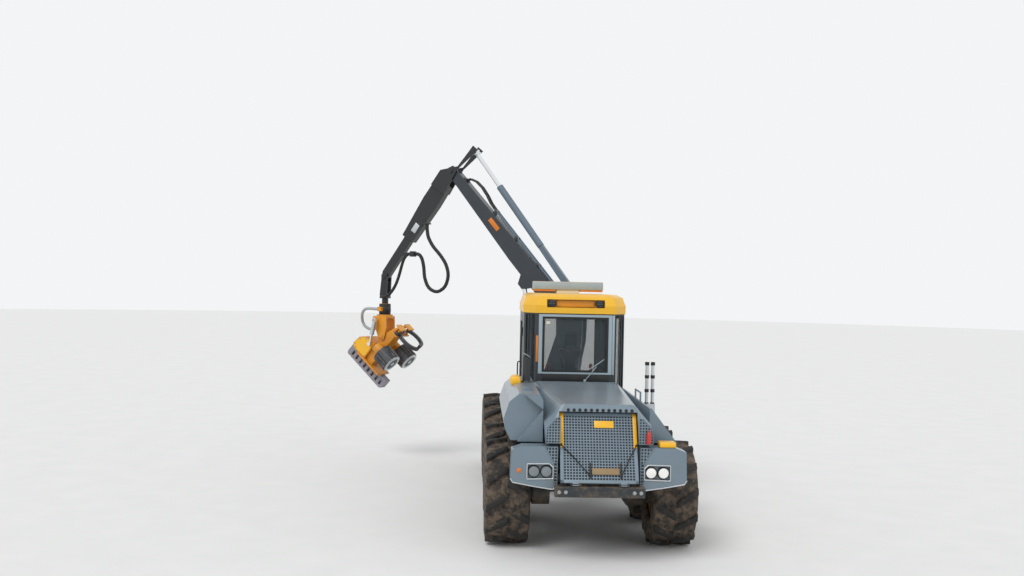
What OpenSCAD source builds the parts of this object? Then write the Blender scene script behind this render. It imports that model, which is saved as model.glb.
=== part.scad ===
// Eight-wheeled forestry harvester: hinged frame, cab, slewing crane and felling head.
// Millimetres. +Y is forward, +X is the machine's right, +Z is up, Z = 0 is the ground.
// Pieces are drawn about the frame joint at X = 0, Y = 0, then moved sideways by frame_x.

/* [Wheels] */
// Tyre diameter over the lugs
tyre_d = 1360; // [1200:10:1400]
// Tyre width
tyre_w = 600; // [450:10:620]
// Distance between the middles of a left and a right tyre
track = 2140; // [2100:10:2300]
// Distance between the two axles of one bogie
bogie_span = 1500; // [1450:10:1700]
// Rim diameter
rim_d = 690; // [600:10:760]
// Height of a tread lug
lug_h = 48; // [20:1:60]
// Width of a tread lug round the tyre
lug_w = 84; // [50:2:110]
// How far a lug turns round the tyre between its middle and its edge, in degrees
lug_turn = 15; // [8:1:24]
// Number of lugs on each half of a tyre
lug_count = 12; // [10:1:24]

/* [Frames] */
// From the frame joint back to the middle of the rear bogie
rear_bogie_back = 1950; // [1850:10:2200]
// From the frame joint forward to the middle of the front bogie
front_bogie_ahead = 2250; // [2200:10:2500]
// From the frame joint back to the tow beam's rear face
rear_reach = 4150; // [4100:10:4400]
// From the frame joint forward to the front guard's face
front_reach = 4130; // [4050:10:4400]
// Outer width over the two frame rails
rail_span = 800; // [700:10:900]
// Height of the underside of the rails
rail_z = 690; // [600:10:760]
// Radius of the bore for the tow pin
tow_pin_r = 22; // [15:1:30]
// Height of a rail
rail_h = 310; // [240:5:330]
// Thickness of a frame plate
plate_t = 40; // [20:1:60]
// Radius of the frame joint's pin
joint_pin_r = 60; // [40:1:80]

/* [Hood] */
// Height of the top of the hood
hood_z = 1945; // [1850:5:2000]
// Half width of the hood's top at the rear
hood_rear_half = 455; // [400:5:500]
// Half width of the hood's top at the front
hood_front_half = 620; // [560:5:640]
// From the frame joint back to the hood's front edge
hood_front_back = 800; // [790:5:900]
// How far the grille's foot stands behind its top
grille_rake = 410; // [360:10:460]
// Height of the bottom of the grille
grille_z = 1035; // [1020:5:1100]
// Distance from one hole of the grille's sheet to the next
grille_pitch = 56; // [40:2:120]
// Width of a hole in the grille's sheet
grille_hole = 40; // [20:2:100]
// Thickness of hood and cab panels
panel_t = 32; // [20:1:45]

/* [Cab] */
// Half width of the cab
cab_half = 775; // [700:5:800]
// Half width of the cab's rear and front faces
cab_end_half = 600; // [540:5:640]
// From the frame joint back to the cab's rear face
cab_rear_back = 500; // [440:5:520]
// From the frame joint forward to the cab's front face
cab_front = 1280; // [1200:5:1320]
// Height of the underside of the cab
cab_z = 1250; // [1220:5:1300]
// Height of the top of the cab's walls
cab_top = 2950; // [2850:5:3050]
// Thickness of the cab's walls and of the door
cab_wall = 50; // [40:1:60]
// Height of the yellow roof
roof_h = 290; // [240:5:340]
// Length of the door
door_len = 900; // [800:5:950]

/* [Crane] */
// From the frame joint forward to the slewing axis
crane_y = 2050; // [2000:5:2200]
// How far the crane is turned to the left of straight ahead, in degrees
crane_turn = 65; // [40:1:90]
// Width of the main boom
boom_w = 190; // [140:2:230]
// Width of the jib
jib_w = 170; // [120:2:200]
// Radius of a crane pin
pin_r = 35; // [25:1:45]
// Radius of the lift cylinder's barrel
lift_r = 75; // [60:1:90]
// Radius of the jib cylinder's barrel
jib_cyl_r = 62; // [50:1:75]
// Thickness of a bracket's cheek plate
cheek_t = 30; // [20:1:40]

/* [Head] */
// Width of the head's body across the feed direction
head_w = 420; // [360:5:480]
// Tilt of the head's stem line from upright, in degrees
head_lean = 48; // [30:1:55]
// Radius of a feed roller over its ribs
roller_r = 190; // [150:5:210]
// Number of ribs on a feed roller
rib_count = 18; // [10:1:24]

/* [Hidden] */
$fn = 48;

// Sideways move that puts the origin under the middle of the whole machine
frame_x = 1290;
// Gap between still pieces that touch, and between moving ones
seat_gap = 0.3;
run_gap = 6;
tyre_r = tyre_d / 2;
rim_r = rim_d / 2;
rail_top = rail_z + rail_h;
rail_x = rail_span / 2;
wheel_in = track / 2 - tyre_w / 2;
wheel_out = track / 2 + tyre_w / 2;
hub_r = 70;
stub_r = hub_r - seat_gap;
rear_bogie_y = -rear_bogie_back;
front_bogie_y = front_bogie_ahead;
hood_front_y = -hood_front_back;
grille_low_y = -rear_reach + 60;
grille_top_y = grille_low_y + grille_rake;
// Rear ends of the lower hood, of the left and right side bodies and of the engine
tail_y = -rear_reach + 190;
left_body_y = tail_y + 340;
right_body_y = tail_y + 400;
engine_y = tail_y + 610;
fender_len = 240;
cab_rear_y = -cab_rear_back;
joint_gap = 5;
axle_bulge = 230;
axle_top = tyre_r + axle_bulge + seat_gap;
tongue_h = rail_h - 2 * plate_t - 2 * joint_gap;

// Steering cylinders: anchors beside the frame joint
steer_x = 430;
steer_back = 620;
steer_ahead = 430;
steer_z = rail_top + plate_t + 70;
steer_r = 48;
steer_rod_r = 28;
steer_eye_r = 55;
steer_eye_h = 96;
steer_pin_r = 25;
steer_eye_z = steer_z - steer_eye_h / 2;

// Crane geometry in its own plane: [reach from the slewing axis, height]
boom_pin = [-100, 2780];
link_pin = [-320, 3070];
elbow_pin = [2180, 5400];
horn_pin = [1740, 5750];
lift_low_pin = [380, 1700];
lift_top_pin = [745, 3370];
tip_pin = [3540, 3450];
head_pin = [3560, 2950];
boom_len = norm(elbow_pin - boom_pin);
boom_angle = atan2(elbow_pin[1] - boom_pin[1], elbow_pin[0] - boom_pin[0]);
link_angle = atan2(horn_pin[1] - link_pin[1], horn_pin[0] - link_pin[0]);
link_len = norm(horn_pin - link_pin);
lift_angle = atan2(lift_top_pin[1] - lift_low_pin[1], lift_top_pin[0] - lift_low_pin[0]);
lift_len = norm(lift_top_pin - lift_low_pin);
jib_angle = atan2(tip_pin[1] - elbow_pin[1], tip_pin[0] - elbow_pin[0]);
jib_len = norm(tip_pin - elbow_pin);
turntable_z = 1360;
tow_pin_y = -rear_reach + 60;
step_y = 180;
step_w = 460;
step_out = 735;
step_low = 560;
lift_eye_w = 100;

// Side bodies over the rear wheels, and the posts that carry them and the hood
side_top = 2030;
side_low_z = 1450;
side_in = 664;
hood_low = 1480;
hood_low_half = 640;
hood_post_x = 624;
side_post_x = 660;
carrier_y = [tail_y + 710, (tail_y + 710 - 1150) / 2, -1150];
slope_low = [980, 1500];
slope_high = [690, 1880];
ladder_y = right_body_y + 1460;

module placed() { translate([frame_x, 0, 0]) children(); }

// Mirror copies on the left and on the right
module both_sides() {
    children();
    mirror([1, 0, 0]) children();
}

// A flat outline in X and Z, pushed along Y from y0 to y1
module along_y(y0, y1) {
    translate([0, y1, 0]) rotate([90, 0, 0]) linear_extrude(height = y1 - y0) children();
}

// A flat outline in Y and Z, pushed along X from x0 to x1
module along_x(x0, x1) {
    translate([x0, 0, 0]) rotate([90, 0, 90]) linear_extrude(height = x1 - x0) children();
}

module box_between(a, b) { translate(a) cube(b - a); }

// Wheel positions: side -1 is left, row 1 is the axle nearer the rear of its bogie
function wheel_y(bogie_y, row) = bogie_y + (row == 1 ? -1 : 1) * bogie_span / 2;

module at_wheel(side, bogie_y, row) {
    placed() translate([side * track / 2, wheel_y(bogie_y, row), tyre_r]) rotate([0, side * 90, 0]) children();
}

// Half section of a tyre's sides: [radius, distance from the middle]
lug_root = tyre_r - lug_h;
shoulder_r = lug_root - 90;

module tyre_section() {
    half = tyre_w / 2;
    polygon([[rim_r, -half * 0.78], [shoulder_r, -half * 0.97], [lug_root - 12, -half * 0.8], [lug_root - 12, half * 0.8],
        [shoulder_r, half * 0.97], [rim_r, half * 0.78]]);
}

// One half of the tread: a toothed outline that turns as it goes out to the edge, as the lugs do
tread_half = tyre_w * 0.46;

module half_tread() {
    pitch = 360 / lug_count;
    top = asin(lug_w / 2 / tyre_r);
    root = asin((lug_w / 2 + 10) / lug_root);
    // Each corner of a lug: [angle from the lug's middle, radius]
    corners = [[-root, lug_root], [-top, tyre_r], [top, tyre_r], [root, lug_root]];
    linear_extrude(height = tread_half, twist = lug_turn, slices = 1)
        polygon([for (k = [0:lug_count - 1], c = corners) c[1] * [cos(k * pitch + c[0]), sin(k * pitch + c[0])]]);
}

module tyre(side, bogie_y, row) {
    top = asin(lug_w / 2 / tyre_r);
    color("#24211e") at_wheel(side, bogie_y, row) {
        rotate_extrude($fn = 24) tyre_section();
        difference() {
            union() {
                rotate([0, 0, top]) half_tread();
                rotate([0, 0, top + 180 / lug_count]) mirror([0, 0, 1]) half_tread();
            }
            cylinder(r = shoulder_r, h = tyre_w, center = true, $fn = 24);
        }
    }
}

module rim(side, bogie_y, row) {
    half = tyre_w * 0.36;
    wall = 14;
    color("#c9a21a") at_wheel(side, bogie_y, row) rotate_extrude($fn = 40)
        polygon([[hub_r, -120], [170, -120], [170, -20], [rim_r - wall - 40, 30], [rim_r - wall, -10],
            [rim_r - wall, -half], [rim_r - seat_gap, -half], [rim_r - seat_gap, half], [rim_r - wall, half],
            [rim_r - wall, 60], [230, 95], [190, 150], [120, 165], [90, 175], [0, 175], [0, 120], [hub_r, 120]]);
}

// Bogie beam with one stub shaft for each wheel
module bogie(bogie_y) {
    beam_in = wheel_in - 260;
    beam_out = wheel_in - 30;
    stub_end = track / 2 + 100;
    translate([0, bogie_y, tyre_r]) {
        along_x(beam_in, beam_out) {
            for (s = [-1, 1]) translate([s * bogie_span / 2, 0]) circle(r = 180);
            polygon([[-bogie_span / 2, -180], [bogie_span / 2, -180], [bogie_span / 2, 180], [240, 250],
                [-240, 250], [-bogie_span / 2, 180]]);
        }
        for (s = [-1, 1]) translate([0, s * bogie_span / 2, 0]) rotate([0, 90, 0]) {
            translate([0, 0, beam_out]) cylinder(r = 150, h = wheel_in + tyre_w / 2 - 120 - seat_gap - beam_out);
            translate([0, 0, beam_in]) cylinder(r = stub_r, h = stub_end - beam_in);
        }
    }
}

module axle(bogie_y) {
    both_sides() bogie(bogie_y);
    translate([0, bogie_y, tyre_r]) rotate([0, 90, 0]) rotate_extrude()
        polygon([[0, -wheel_in + 250], [170, -wheel_in + 250], [150, -300], [axle_bulge, -180], [axle_bulge, 180], [150, 300],
            [170, wheel_in - 250], [0, wheel_in - 250]]);
}

module rear_axle() { color("#3b4348") placed() axle(rear_bogie_y); }
module front_axle() { color("#3b4348") placed() axle(front_bogie_y); }

// Rails, cross members, saddle over the axle, clevis of the frame joint and tow beam
module rear_frame() {
    front = -450;
    color("#3a434a") placed() {
        both_sides() {
            box_between([rail_x - plate_t, -rear_reach + 110, rail_z + 190], [rail_x, front, rail_top]);
            box_between([rail_x - plate_t, rear_bogie_y - 420, axle_top], [rail_x, rear_bogie_y + 420, rail_top]);
            steer_lug(-steer_back);
            translate([steer_x, -steer_back, rail_top]) cylinder(r = steer_pin_r, h = steer_z + steer_eye_h / 2 - rail_top + 12);
            box_between([rail_x - 20, tail_y + 60, rail_top - 110], [500 - seat_gap, tail_y + 180, rail_top - 10]);
        }
        box_between([-rail_x, rear_bogie_y - 330, axle_top], [rail_x, rear_bogie_y + 330, rail_top]);
        box_between([-rail_x, -1300, rail_z + 190], [rail_x, -1250, rail_top]);
        both_sides() for (y = carrier_y) body_carrier(y);
        for (z = [rail_z, rail_top - plate_t]) clevis_plate(z, front);
        box_between([-rail_x, front - 60, rail_z], [rail_x, front, rail_top]);
        translate([0, 0, rail_z - 20]) cylinder(r = joint_pin_r, h = rail_h + 40);
        tow_beam();
        gate_hinge_pins();
    }
}

// Arm from the rail with one post under the hood's edge and one under the side body
module body_carrier(y) {
    arm = 35;
    box_between([rail_x - 20, y - arm, rail_top - 70], [side_post_x + 60, y + arm, rail_top]);
    box_between([hood_post_x - 24, y - arm, rail_top - 10], [hood_post_x + 16, y + arm, hood_low - seat_gap]);
    box_between([hood_post_x + 16 - 1, y - arm, rail_top - 10], [side_post_x + 60, y + arm, side_low_z - seat_gap]);
}

module clevis_plate(z, front) {
    translate([0, 0, z]) linear_extrude(height = plate_t) {
        circle(r = 160);
        polygon([[-rail_x, front], [-rail_x, front - 260], [rail_x, front - 260], [rail_x, front], [155, -40], [-155, -40]]);
    }
}

// Lug beside the frame joint; the eye of a steering cylinder lies on it
module steer_lug(y) {
    box_between([rail_x - plate_t, y - 60, rail_top - plate_t], [steer_x + 55, y + 60, steer_eye_z - seat_gap]);
}

// Tow beam with an upright bore for a tow pin in its middle
module tow_beam() {
    difference() {
        box_between([-540, -rear_reach, rail_top - 125], [540, -rear_reach + 130, rail_top - 5]);
        translate([0, tow_pin_y, rail_top - 200]) cylinder(r = tow_pin_r, h = 300);
    }
    both_sides() box_between([300, -rear_reach + 100, rail_top - 130], [rail_x, -rear_reach + 300, rail_top]);
}

module engine_block() {
    color("#4a4d50") placed() box_between([-330, engine_y, rail_top + seat_gap], [330, engine_y + 1650, 1650]);
}

// Front half of the chassis: rails, tongue of the frame joint, steps and front guard
module front_frame() {
    back = 450;
    color("#3a434a") placed() {
        difference() {
            translate([0, 0, rail_z + plate_t + joint_gap]) linear_extrude(height = tongue_h) {
                circle(r = 140);
                polygon([[-137, 40], [-rail_x + 60, back], [-rail_x + 60, back + 220], [rail_x - 60, back + 220],
                    [rail_x - 60, back], [137, 40]]);
            }
            translate([0, 0, rail_z - 50]) cylinder(r = joint_pin_r + seat_gap, h = rail_h + 100);
        }
        both_sides() {
            box_between([rail_x - plate_t, back, rail_z + 190], [rail_x, front_reach - 120, rail_top]);
            box_between([rail_x - plate_t, front_bogie_y - 420, axle_top], [rail_x, front_bogie_y + 420, rail_top]);
            steer_lug(steer_ahead);
        }
        box_between([-rail_x, back, rail_z], [rail_x, back + 60, rail_top]);
        box_between([-rail_x, front_bogie_y - 330, axle_top], [rail_x, front_bogie_y + 330, rail_top]);
        front_guard();
        cab_mounts();
        cab_steps();
    }
}

module front_guard() {
    along_x(-600, 600) polygon([[front_reach - 160, rail_z + 60], [front_reach - 40, rail_z + 40], [front_reach, rail_z + 160],
        [front_reach, rail_top - 40], [front_reach - 60, rail_top], [front_reach - 160, rail_top]]);
}

// Two treads below the door between two side plates on the left rail
module cab_steps() {
    for (y = [step_y, step_y + step_w - 12]) box_between([-step_out, y, step_low], [-rail_x + 10, y + 12, rail_top - 20]);
    for (z = [step_low, step_low + 290]) box_between([-step_out, step_y + 2, z], [-step_out + 190, step_y + step_w - 2, z + 30]);
}

module cab_mounts() {
    both_sides() {
        box_between([rail_x - 100, 560, rail_top - 10], [rail_x, 760, cab_z - seat_gap]);
        box_between([rail_x - 100, 1060, rail_top - 10], [rail_x, 1200, cab_z - seat_gap]);
    }
}

// Hood: open below, its rear end raked for the grille
module hood_outline(half, z, low_half) {
    polygon([[-low_half, hood_low], [-low_half - 20, 1700], [-half - 40, z - 70], [-half, z - 14], [-half + 50, z],
        [half - 50, z], [half, z - 14], [half + 40, z - 70], [low_half + 20, 1700], [low_half, hood_low]]);
}

// The hood's outside, or its inside when shrink is the panel's thickness
module hood_solid(shrink) {
    slice = 20;
    low_half = hood_low_half - shrink;
    translate([0, 0, -shrink]) hull() {
        along_y(hood_front_y - slice - shrink, hood_front_y - shrink) hood_outline(hood_front_half - shrink, hood_z, low_half);
        along_y(tail_y + fender_len + shrink, tail_y + fender_len + slice + shrink) hood_outline(hood_rear_half - shrink, hood_z - 5, low_half);
        along_y(tail_y + shrink, tail_y + slice + shrink) intersection() {
            hood_outline(hood_rear_half - shrink, hood_z - 5, low_half);
            translate([-900, hood_low - 180]) square([1800, 240]);
        }
    }
}

module hood() {
    color("#8296a6") placed() difference() {
        hood_solid(0);
        hood_solid(panel_t);
        box_between([-hood_low_half + 40, tail_y - 140, hood_low - 180], [hood_low_half - 40, hood_front_y - 100, hood_low + 20]);
        grille_cut();
    }
}

// Space behind the raked grille, cut from what stands round it
module grille_cut() {
    along_x(-480, 480) polygon([[grille_low_y - 300, grille_z - 30], [grille_low_y + 60, grille_z - 30],
        [grille_top_y + 60, hood_z - 95], [grille_top_y - 300, hood_z - 95]]);
}

gate_pin = [grille_low_y - 18, grille_z - 13];
gate_pin_r = 12;

// The grille's own frame: X across, Y into the machine, Z up the rake
grille_rise = hood_z - 110 - grille_z;
grille_run = grille_top_y - 25 - grille_low_y;
grille_len = norm([grille_run, grille_rise]);
grille_half = 470;
grille_edge = 42;
grille_deep = 40;
grille_sheet = 8;

module on_grille() {
    translate([0, grille_low_y, grille_z]) rotate([-atan2(grille_run, grille_rise), 0, 0]) children();
}

// Raked grille of perforated sheet in a frame, which folds down about a pin over the tow beam
module rear_grille() {
    field = [2 * (grille_half - grille_edge), grille_len - 2 * grille_edge];
    across = floor((field[0] - grille_hole) / grille_pitch);
    up = floor((field[1] - grille_hole) / grille_pitch);
    color("#1c1f22") placed() difference() {
        union() {
            on_grille() difference() {
                box_between([-grille_half, 0, 0], [grille_half, grille_deep, grille_len]);
                box_between([-field[0] / 2, grille_sheet, grille_edge], [field[0] / 2, grille_deep + 10, grille_len - grille_edge]);
                for (i = [0:across], k = [0:up])
                    translate([(i - across / 2) * grille_pitch - grille_hole / 2, -10,
                        grille_len / 2 + (k - up / 2) * grille_pitch - grille_hole / 2])
                        cube([grille_hole, grille_sheet + 20, grille_hole]);
            }
            both_sides() along_x(250, 330) union() {
                translate(gate_pin) circle(r = 26);
                polygon([gate_pin, [gate_pin[0] + 40, gate_pin[1] - 8], [grille_low_y + 40, grille_z + 20], [grille_low_y, grille_z + 20]]);
            }
        }
        along_x(-600, 600) translate(gate_pin) circle(r = gate_pin_r + seat_gap);
    }
}

module gate_hinge_pins() {
    both_sides() {
        along_x(235, 345) translate(gate_pin) circle(r = gate_pin_r);
        for (x = [225, 335]) box_between([x, gate_pin[0] - 12, rail_top - 10], [x + 20 - 1, gate_pin[0] + 12, gate_pin[1] + 12]);
    }
}

// Left side body with the fuel tank, bulging over the left rear wheels
module left_side_body() {
    color("#8296a6") placed() difference() {
        along_y(left_body_y, -1000) polygon([[-side_in, side_low_z], [-1060, side_low_z], [-1130, 1590], [-1150, 1720], [-1080, 1930],
            [-960, side_top], [-700, side_top], [-side_in, 1960]]);
        translate([-side_in, left_body_y, 1850]) rotate([0, 38, 0]) translate([-600, -260, -900]) cube([600, 380, 900]);
        for (y = [left_body_y + 870, left_body_y + 1720]) box_between([-1200, y, side_low_z + 40], [-1060, y + 12, side_top + 20]);
    }
    color("#8296a6") placed() translate([-830, left_body_y + 570, side_top - 1]) cylinder(r = 55, h = 46);
}

// Right side body: a slanted side over the right rear wheels
module right_side_body() {
    slope = slope_high - slope_low;
    slot = [16, 300, 60];
    color("#8296a6") placed() {
        difference() {
            along_y(right_body_y, -1000) polygon([[side_in, side_low_z], [1020, side_low_z], slope_low, slope_high, [side_in, slope_high[1]]]);
            for (y = [80, 430, 780, 1660, 2010], k = [0:3])
                translate([slope_low[0], right_body_y + y, slope_low[1]]) rotate([0, atan2(slope[0], slope[1]), 0])
                    translate([-slot[0], 0, 70 + k * 95]) cube([3 * slot[0], slot[1], slot[2]]);
        }
        rail_y = right_body_y + 860;
        handrail([(side_in + slope_high[0]) / 2, rail_y], [(side_in + slope_high[0]) / 2, rail_y + 450], slope_high[1], 110);
    }
}

// Handrail with a post at each end, standing on a panel at height z
module handrail(a, b, z, rise) {
    r = 12;
    for (p = [a, b]) translate([p[0], p[1], z - 15]) cylinder(r = r, h = rise + 15);
    translate([a[0], a[1], z + rise]) rotate([-90, 0, 0]) cylinder(r = r, h = b[1] - a[1]);
}

// Rear corner bodies round the lamps
module rear_fenders() {
    color("#8296a6") placed() both_sides() {
        difference() {
            along_y(tail_y, tail_y + fender_len) polygon([[500, 960], [560, 930], [1040, 1010], [1070, 1060], [1060, 1400], [930, 1448], [500, 1448]]);
            box_between([560, tail_y - 10, 1060], [860, tail_y + 30, 1230]);
        }
        for (x = [635, 785]) translate([x, tail_y + 31, 1145]) rotate([90, 0, 0]) cylinder(r = 62, h = 26);
    }
}

module exhaust_pipe() {
    pipe_r = 55;
    color("#3b3a38") placed() translate([-800, left_body_y + 1720, side_top + seat_gap]) difference() {
        union() {
            cylinder(r = pipe_r, h = 380);
            cylinder(r = pipe_r + 35, h = 14);
        }
        translate([0, 0, 40]) cylinder(r = pipe_r - 5, h = 400);
        translate([0, 0, 330]) rotate([0, 30, 0]) translate([-200, -100, 0]) cube([400, 200, 300]);
    }
}

// Folded service ladder on the right side body's slope
module service_ladder() {
    along = (slope_high - slope_low) / norm(slope_high - slope_low);
    out = [-along[1], along[0]] * -seat_gap;
    low = slope_low + along * 60 + out;
    high = slope_low + along * 190 + out;
    color("#c8cdd0") placed() {
        along_y(ladder_y - 40, ladder_y + 40) polygon([low, [low[0] + 20, low[1]], [low[0] + 20, 1780], [high[0] - 20, 1780], high]);
        for (x = [low[0] - 12, low[0] - 92]) translate([x, ladder_y, 1760]) cylinder(r = 22, h = 580);
    }
}

// Steering cylinder: side -1 is left
module steer_barrel(side) {
    color("#33383c") placed() translate([side * steer_x, -steer_back, steer_z]) difference() {
        union() {
            rotate([-90, 0, 0]) cylinder(r = steer_r, h = 620);
            cylinder(r = steer_eye_r, h = steer_eye_h, center = true);
        }
        cylinder(r = steer_pin_r + seat_gap, h = 200, center = true);
        translate([0, 120, 0]) rotate([-90, 0, 0]) cylinder(r = steer_rod_r + 0.05, h = 600);
    }
}

// The rod's eye lies on the front lug with no pin through it: the linkage is open there
module steer_rod(side) {
    reach = steer_back + steer_ahead;
    color("#d8dadc") placed() translate([side * steer_x, -steer_back, steer_z]) {
        translate([0, 500, 0]) rotate([-90, 0, 0]) cylinder(r = steer_rod_r, h = reach - 500);
        translate([0, reach, 0]) cylinder(r = steer_eye_r, h = steer_eye_h, center = true);
    }
}

// Plan of the cab inside an offset: a long box with its corners cut off
module cab_plan(inset) {
    h = cab_half - inset;
    e = cab_end_half - inset * 0.6;
    r = cab_rear_y + inset;
    f = cab_front - inset;
    polygon([[-e, r], [e, r], [h, r + 250], [h, f - 130], [e, f], [-e, f], [-h, f - 130], [-h, r + 250]]);
}

rear_window_half = 490;
front_window_half = 500;
window_low = 2070;
window_top = 2890;
side_low = 1750;
door_y = 150;
door_z = 1310;
door_top = 2880;

// Puts local X along the slanted rear corner of the cab, on its left or right, local Y inwards
module cab_corner() {
    a = [-cab_end_half, cab_rear_y];
    b = [-cab_half, cab_rear_y + 250];
    both_sides() translate([(a[0] + b[0]) / 2, (a[1] + b[1]) / 2, 0]) rotate([0, 0, atan2(a[1] - b[1], a[0] - b[0])]) children();
}

corner_window = 105;

module cab_openings() {
    cab_corner() box_between([-corner_window, -100, side_low], [corner_window, 100, window_top]);
    box_between([-rear_window_half, cab_rear_y - 100, window_low], [rear_window_half, cab_rear_y + 200, window_top]);
    box_between([-front_window_half, cab_front - 200, side_low - 150], [front_window_half, cab_front + 100, window_top]);
    box_between([cab_half - 200, -150, side_low], [cab_half + 100, 1050, window_top]);
    box_between([-cab_half - 100, door_y, door_z], [-cab_half + 200, door_y + door_len, door_top]);
}

module cab_body() {
    color("#2b3035") placed() difference() {
        translate([0, 0, cab_z]) linear_extrude(height = cab_top - cab_z) cab_plan(0);
        translate([0, 0, cab_z + cab_wall]) linear_extrude(height = cab_top - cab_z) cab_plan(cab_wall);
        cab_openings();
    }
    color("#2b3035") placed() {
        door_hinge_pins();
        corner_guard();
    }
}

// Round bars outside the corner windows, held by a foot at each end
module corner_guard() {
    bar = 11;
    cab_corner() for (x = [-70, 0, 70]) {
        translate([x, -30, side_low - 60]) cylinder(r = bar, h = window_top - side_low + 100);
        for (z = [side_low - 60, window_top + 10]) box_between([x - bar, -36, z], [x + bar, 8, z + 30]);
    }
}

module cab_roof() {
    z = cab_top + seat_gap;
    color("#e8b012") placed() {
        difference() {
            hull() {
                translate([0, 0, z]) linear_extrude(height = 120) cab_plan(-15);
                translate([0, 0, z]) linear_extrude(height = roof_h - 40) cab_plan(30);
                translate([0, 0, z]) linear_extrude(height = roof_h) cab_plan(110);
            }
            box_between([-440, cab_rear_y - 50, z + 90], [440, cab_rear_y + 90, z + 210]);
        }
        for (x = [-365, 365]) translate([x, cab_rear_y + 91, z + 150]) rotate([90, 0, 0]) cylinder(r = 52, h = 70);
        for (x = [-430, -150, 150, 430]) translate([x, cab_front + 4, z + 150]) rotate([-90, 0, 0]) cylinder(r = 50, h = 40);
        box_between([-150, 1050, z + roof_h - 20], [150, 1150, z + roof_h + 60]);
        box_between([-580, 1000, z + roof_h + 60], [580, 1200, z + roof_h + 190]);
    }
}

module cab_glass() {
    t = 6;
    color("#5d6f7a", 0.5) placed() {
        box_between([-rear_window_half + seat_gap, cab_rear_y + 20, window_low + seat_gap],
            [rear_window_half - seat_gap, cab_rear_y + 20 + t, window_top - seat_gap]);
        box_between([-front_window_half + seat_gap, cab_front - 26, side_low - 150 + seat_gap],
            [front_window_half - seat_gap, cab_front - 26 + t, window_top - seat_gap]);
        box_between([cab_half - 26, -150 + seat_gap, side_low + seat_gap], [cab_half - 20, 1050 - seat_gap, window_top - seat_gap]);
        cab_corner() box_between([-corner_window + seat_gap, 20, side_low + seat_gap],
            [corner_window - seat_gap, 20 + t, window_top - seat_gap]);
    }
}

door_edge = 90;
hinge_x = -cab_half - 18;
hinge_y = door_y - 8;
hinge_r = 7;

module cab_door() {
    color("#2b3035") placed() difference() {
        union() {
            box_between([-cab_half - 4, door_y + run_gap, door_z + run_gap],
                [-cab_half + cab_wall - 5, door_y + door_len - run_gap, door_top - run_gap]);
            for (z = [1600, 2600]) {
                translate([hinge_x, hinge_y, z]) cylinder(r = 16, h = 80);
                box_between([-cab_half - 16, hinge_y, z], [-cab_half - 2, door_y + 70, z + 80]);
            }
        }
        box_between([-cab_half - 10, door_y + door_edge, door_z + 260],
            [-cab_half + cab_wall + 10, door_y + door_len - door_edge, door_top - door_edge]);
        translate([hinge_x, hinge_y, door_z]) cylinder(r = hinge_r + seat_gap, h = 1600);
    }
}

module door_hinge_pins() {
    for (z = [1600, 2600]) {
        translate([hinge_x, hinge_y, z - 30]) cylinder(r = hinge_r, h = 140);
        for (k = [z - 30, z + 81]) box_between([hinge_x - 10, hinge_y - 40, k], [-cab_half + 5, hinge_y + 6, k + 29]);
    }
}

module door_glass() {
    color("#5d6f7a", 0.5) placed() box_between([-cab_half + 18, door_y + door_edge + seat_gap, door_z + 260 + seat_gap],
        [-cab_half + 24, door_y + door_len - door_edge - seat_gap, door_top - door_edge - seat_gap]);
}

module operator_seat() {
    color("#1d1f21") placed() {
        box_between([-120, 420, cab_z + cab_wall + seat_gap], [120, 700, 1660]);
        box_between([-250, 330, 1660], [250, 840, 1800]);
        along_x(-230, 230) polygon([[330, 1790], [200, 2400], [300, 2430], [450, 1790]]);
        along_x(-130, 130) polygon([[205, 2400], [190, 2620], [280, 2630], [300, 2400]]);
    }
}

// The crane's plane: local X is reach, local Z is height
module crane_frame() {
    placed() translate([0, crane_y, 0]) rotate([0, 0, 90 + crane_turn]) children();
}

// A flat outline in the crane's plane, w wide and shifted sideways by off
module crane_plate(w, off = 0) {
    translate([0, off + w / 2, 0]) rotate([90, 0, 0]) linear_extrude(height = w) children();
}

module crane_pin(p, r, w) { translate([p[0], 0, p[1]]) rotate([90, 0, 0]) cylinder(r = r, h = w, center = true); }

// Turns what is drawn along +X so that it runs from a at an angle in the crane's plane
module along_crane(a, angle) { translate([a[0], 0, a[1]]) rotate([0, -angle, 0]) children(); }

// Two cheeks outside a piece of width w
module cheeks(w) {
    for (s = [-1, 1]) crane_plate(cheek_t, s * (w / 2 + cheek_t / 2 + 1)) children();
}

module crane_base() {
    color("#2f363b") placed() translate([0, crane_y, 0]) {
        translate([0, 0, rail_top + seat_gap]) cylinder(r = 370, h = 60);
        translate([0, 0, rail_top + 30]) cylinder(r = 300, h = turntable_z - rail_top - 30 - 70);
        translate([0, 0, turntable_z - 70]) cylinder(r = 350, h = 70 - seat_gap);
    }
}

module crane_pillar() {
    inner = boom_w + 2 * 1;
    color("#2f363b") crane_frame() {
        translate([0, 0, turntable_z]) cylinder(r = 340, h = 160);
        crane_plate(330) polygon([[-290, turntable_z + 100], [290, turntable_z + 100], [250, 1900], [60, 2480], [-380, 2480], [-300, 1900]]);
        cheeks(inner) {
            polygon([[-300, 1900], [60, 2300], [70, 2780], [-40, 2880], [-230, 3150], [-330, 3180], [-430, 3100], [-400, 2400]]);
        }
        cheeks(lift_r * 2) polygon([[200, 1560], [330, 1600], [450, 1640], [450, 1760], [380, 1790], [240, 1800]]);
        crane_pin(boom_pin, pin_r, inner + 2 * cheek_t + 30);
        crane_pin(link_pin, pin_r, inner + 2 * cheek_t + 30);
        crane_pin(lift_low_pin, pin_r, lift_r * 2 + 2 * cheek_t + 30);
    }
}

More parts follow.
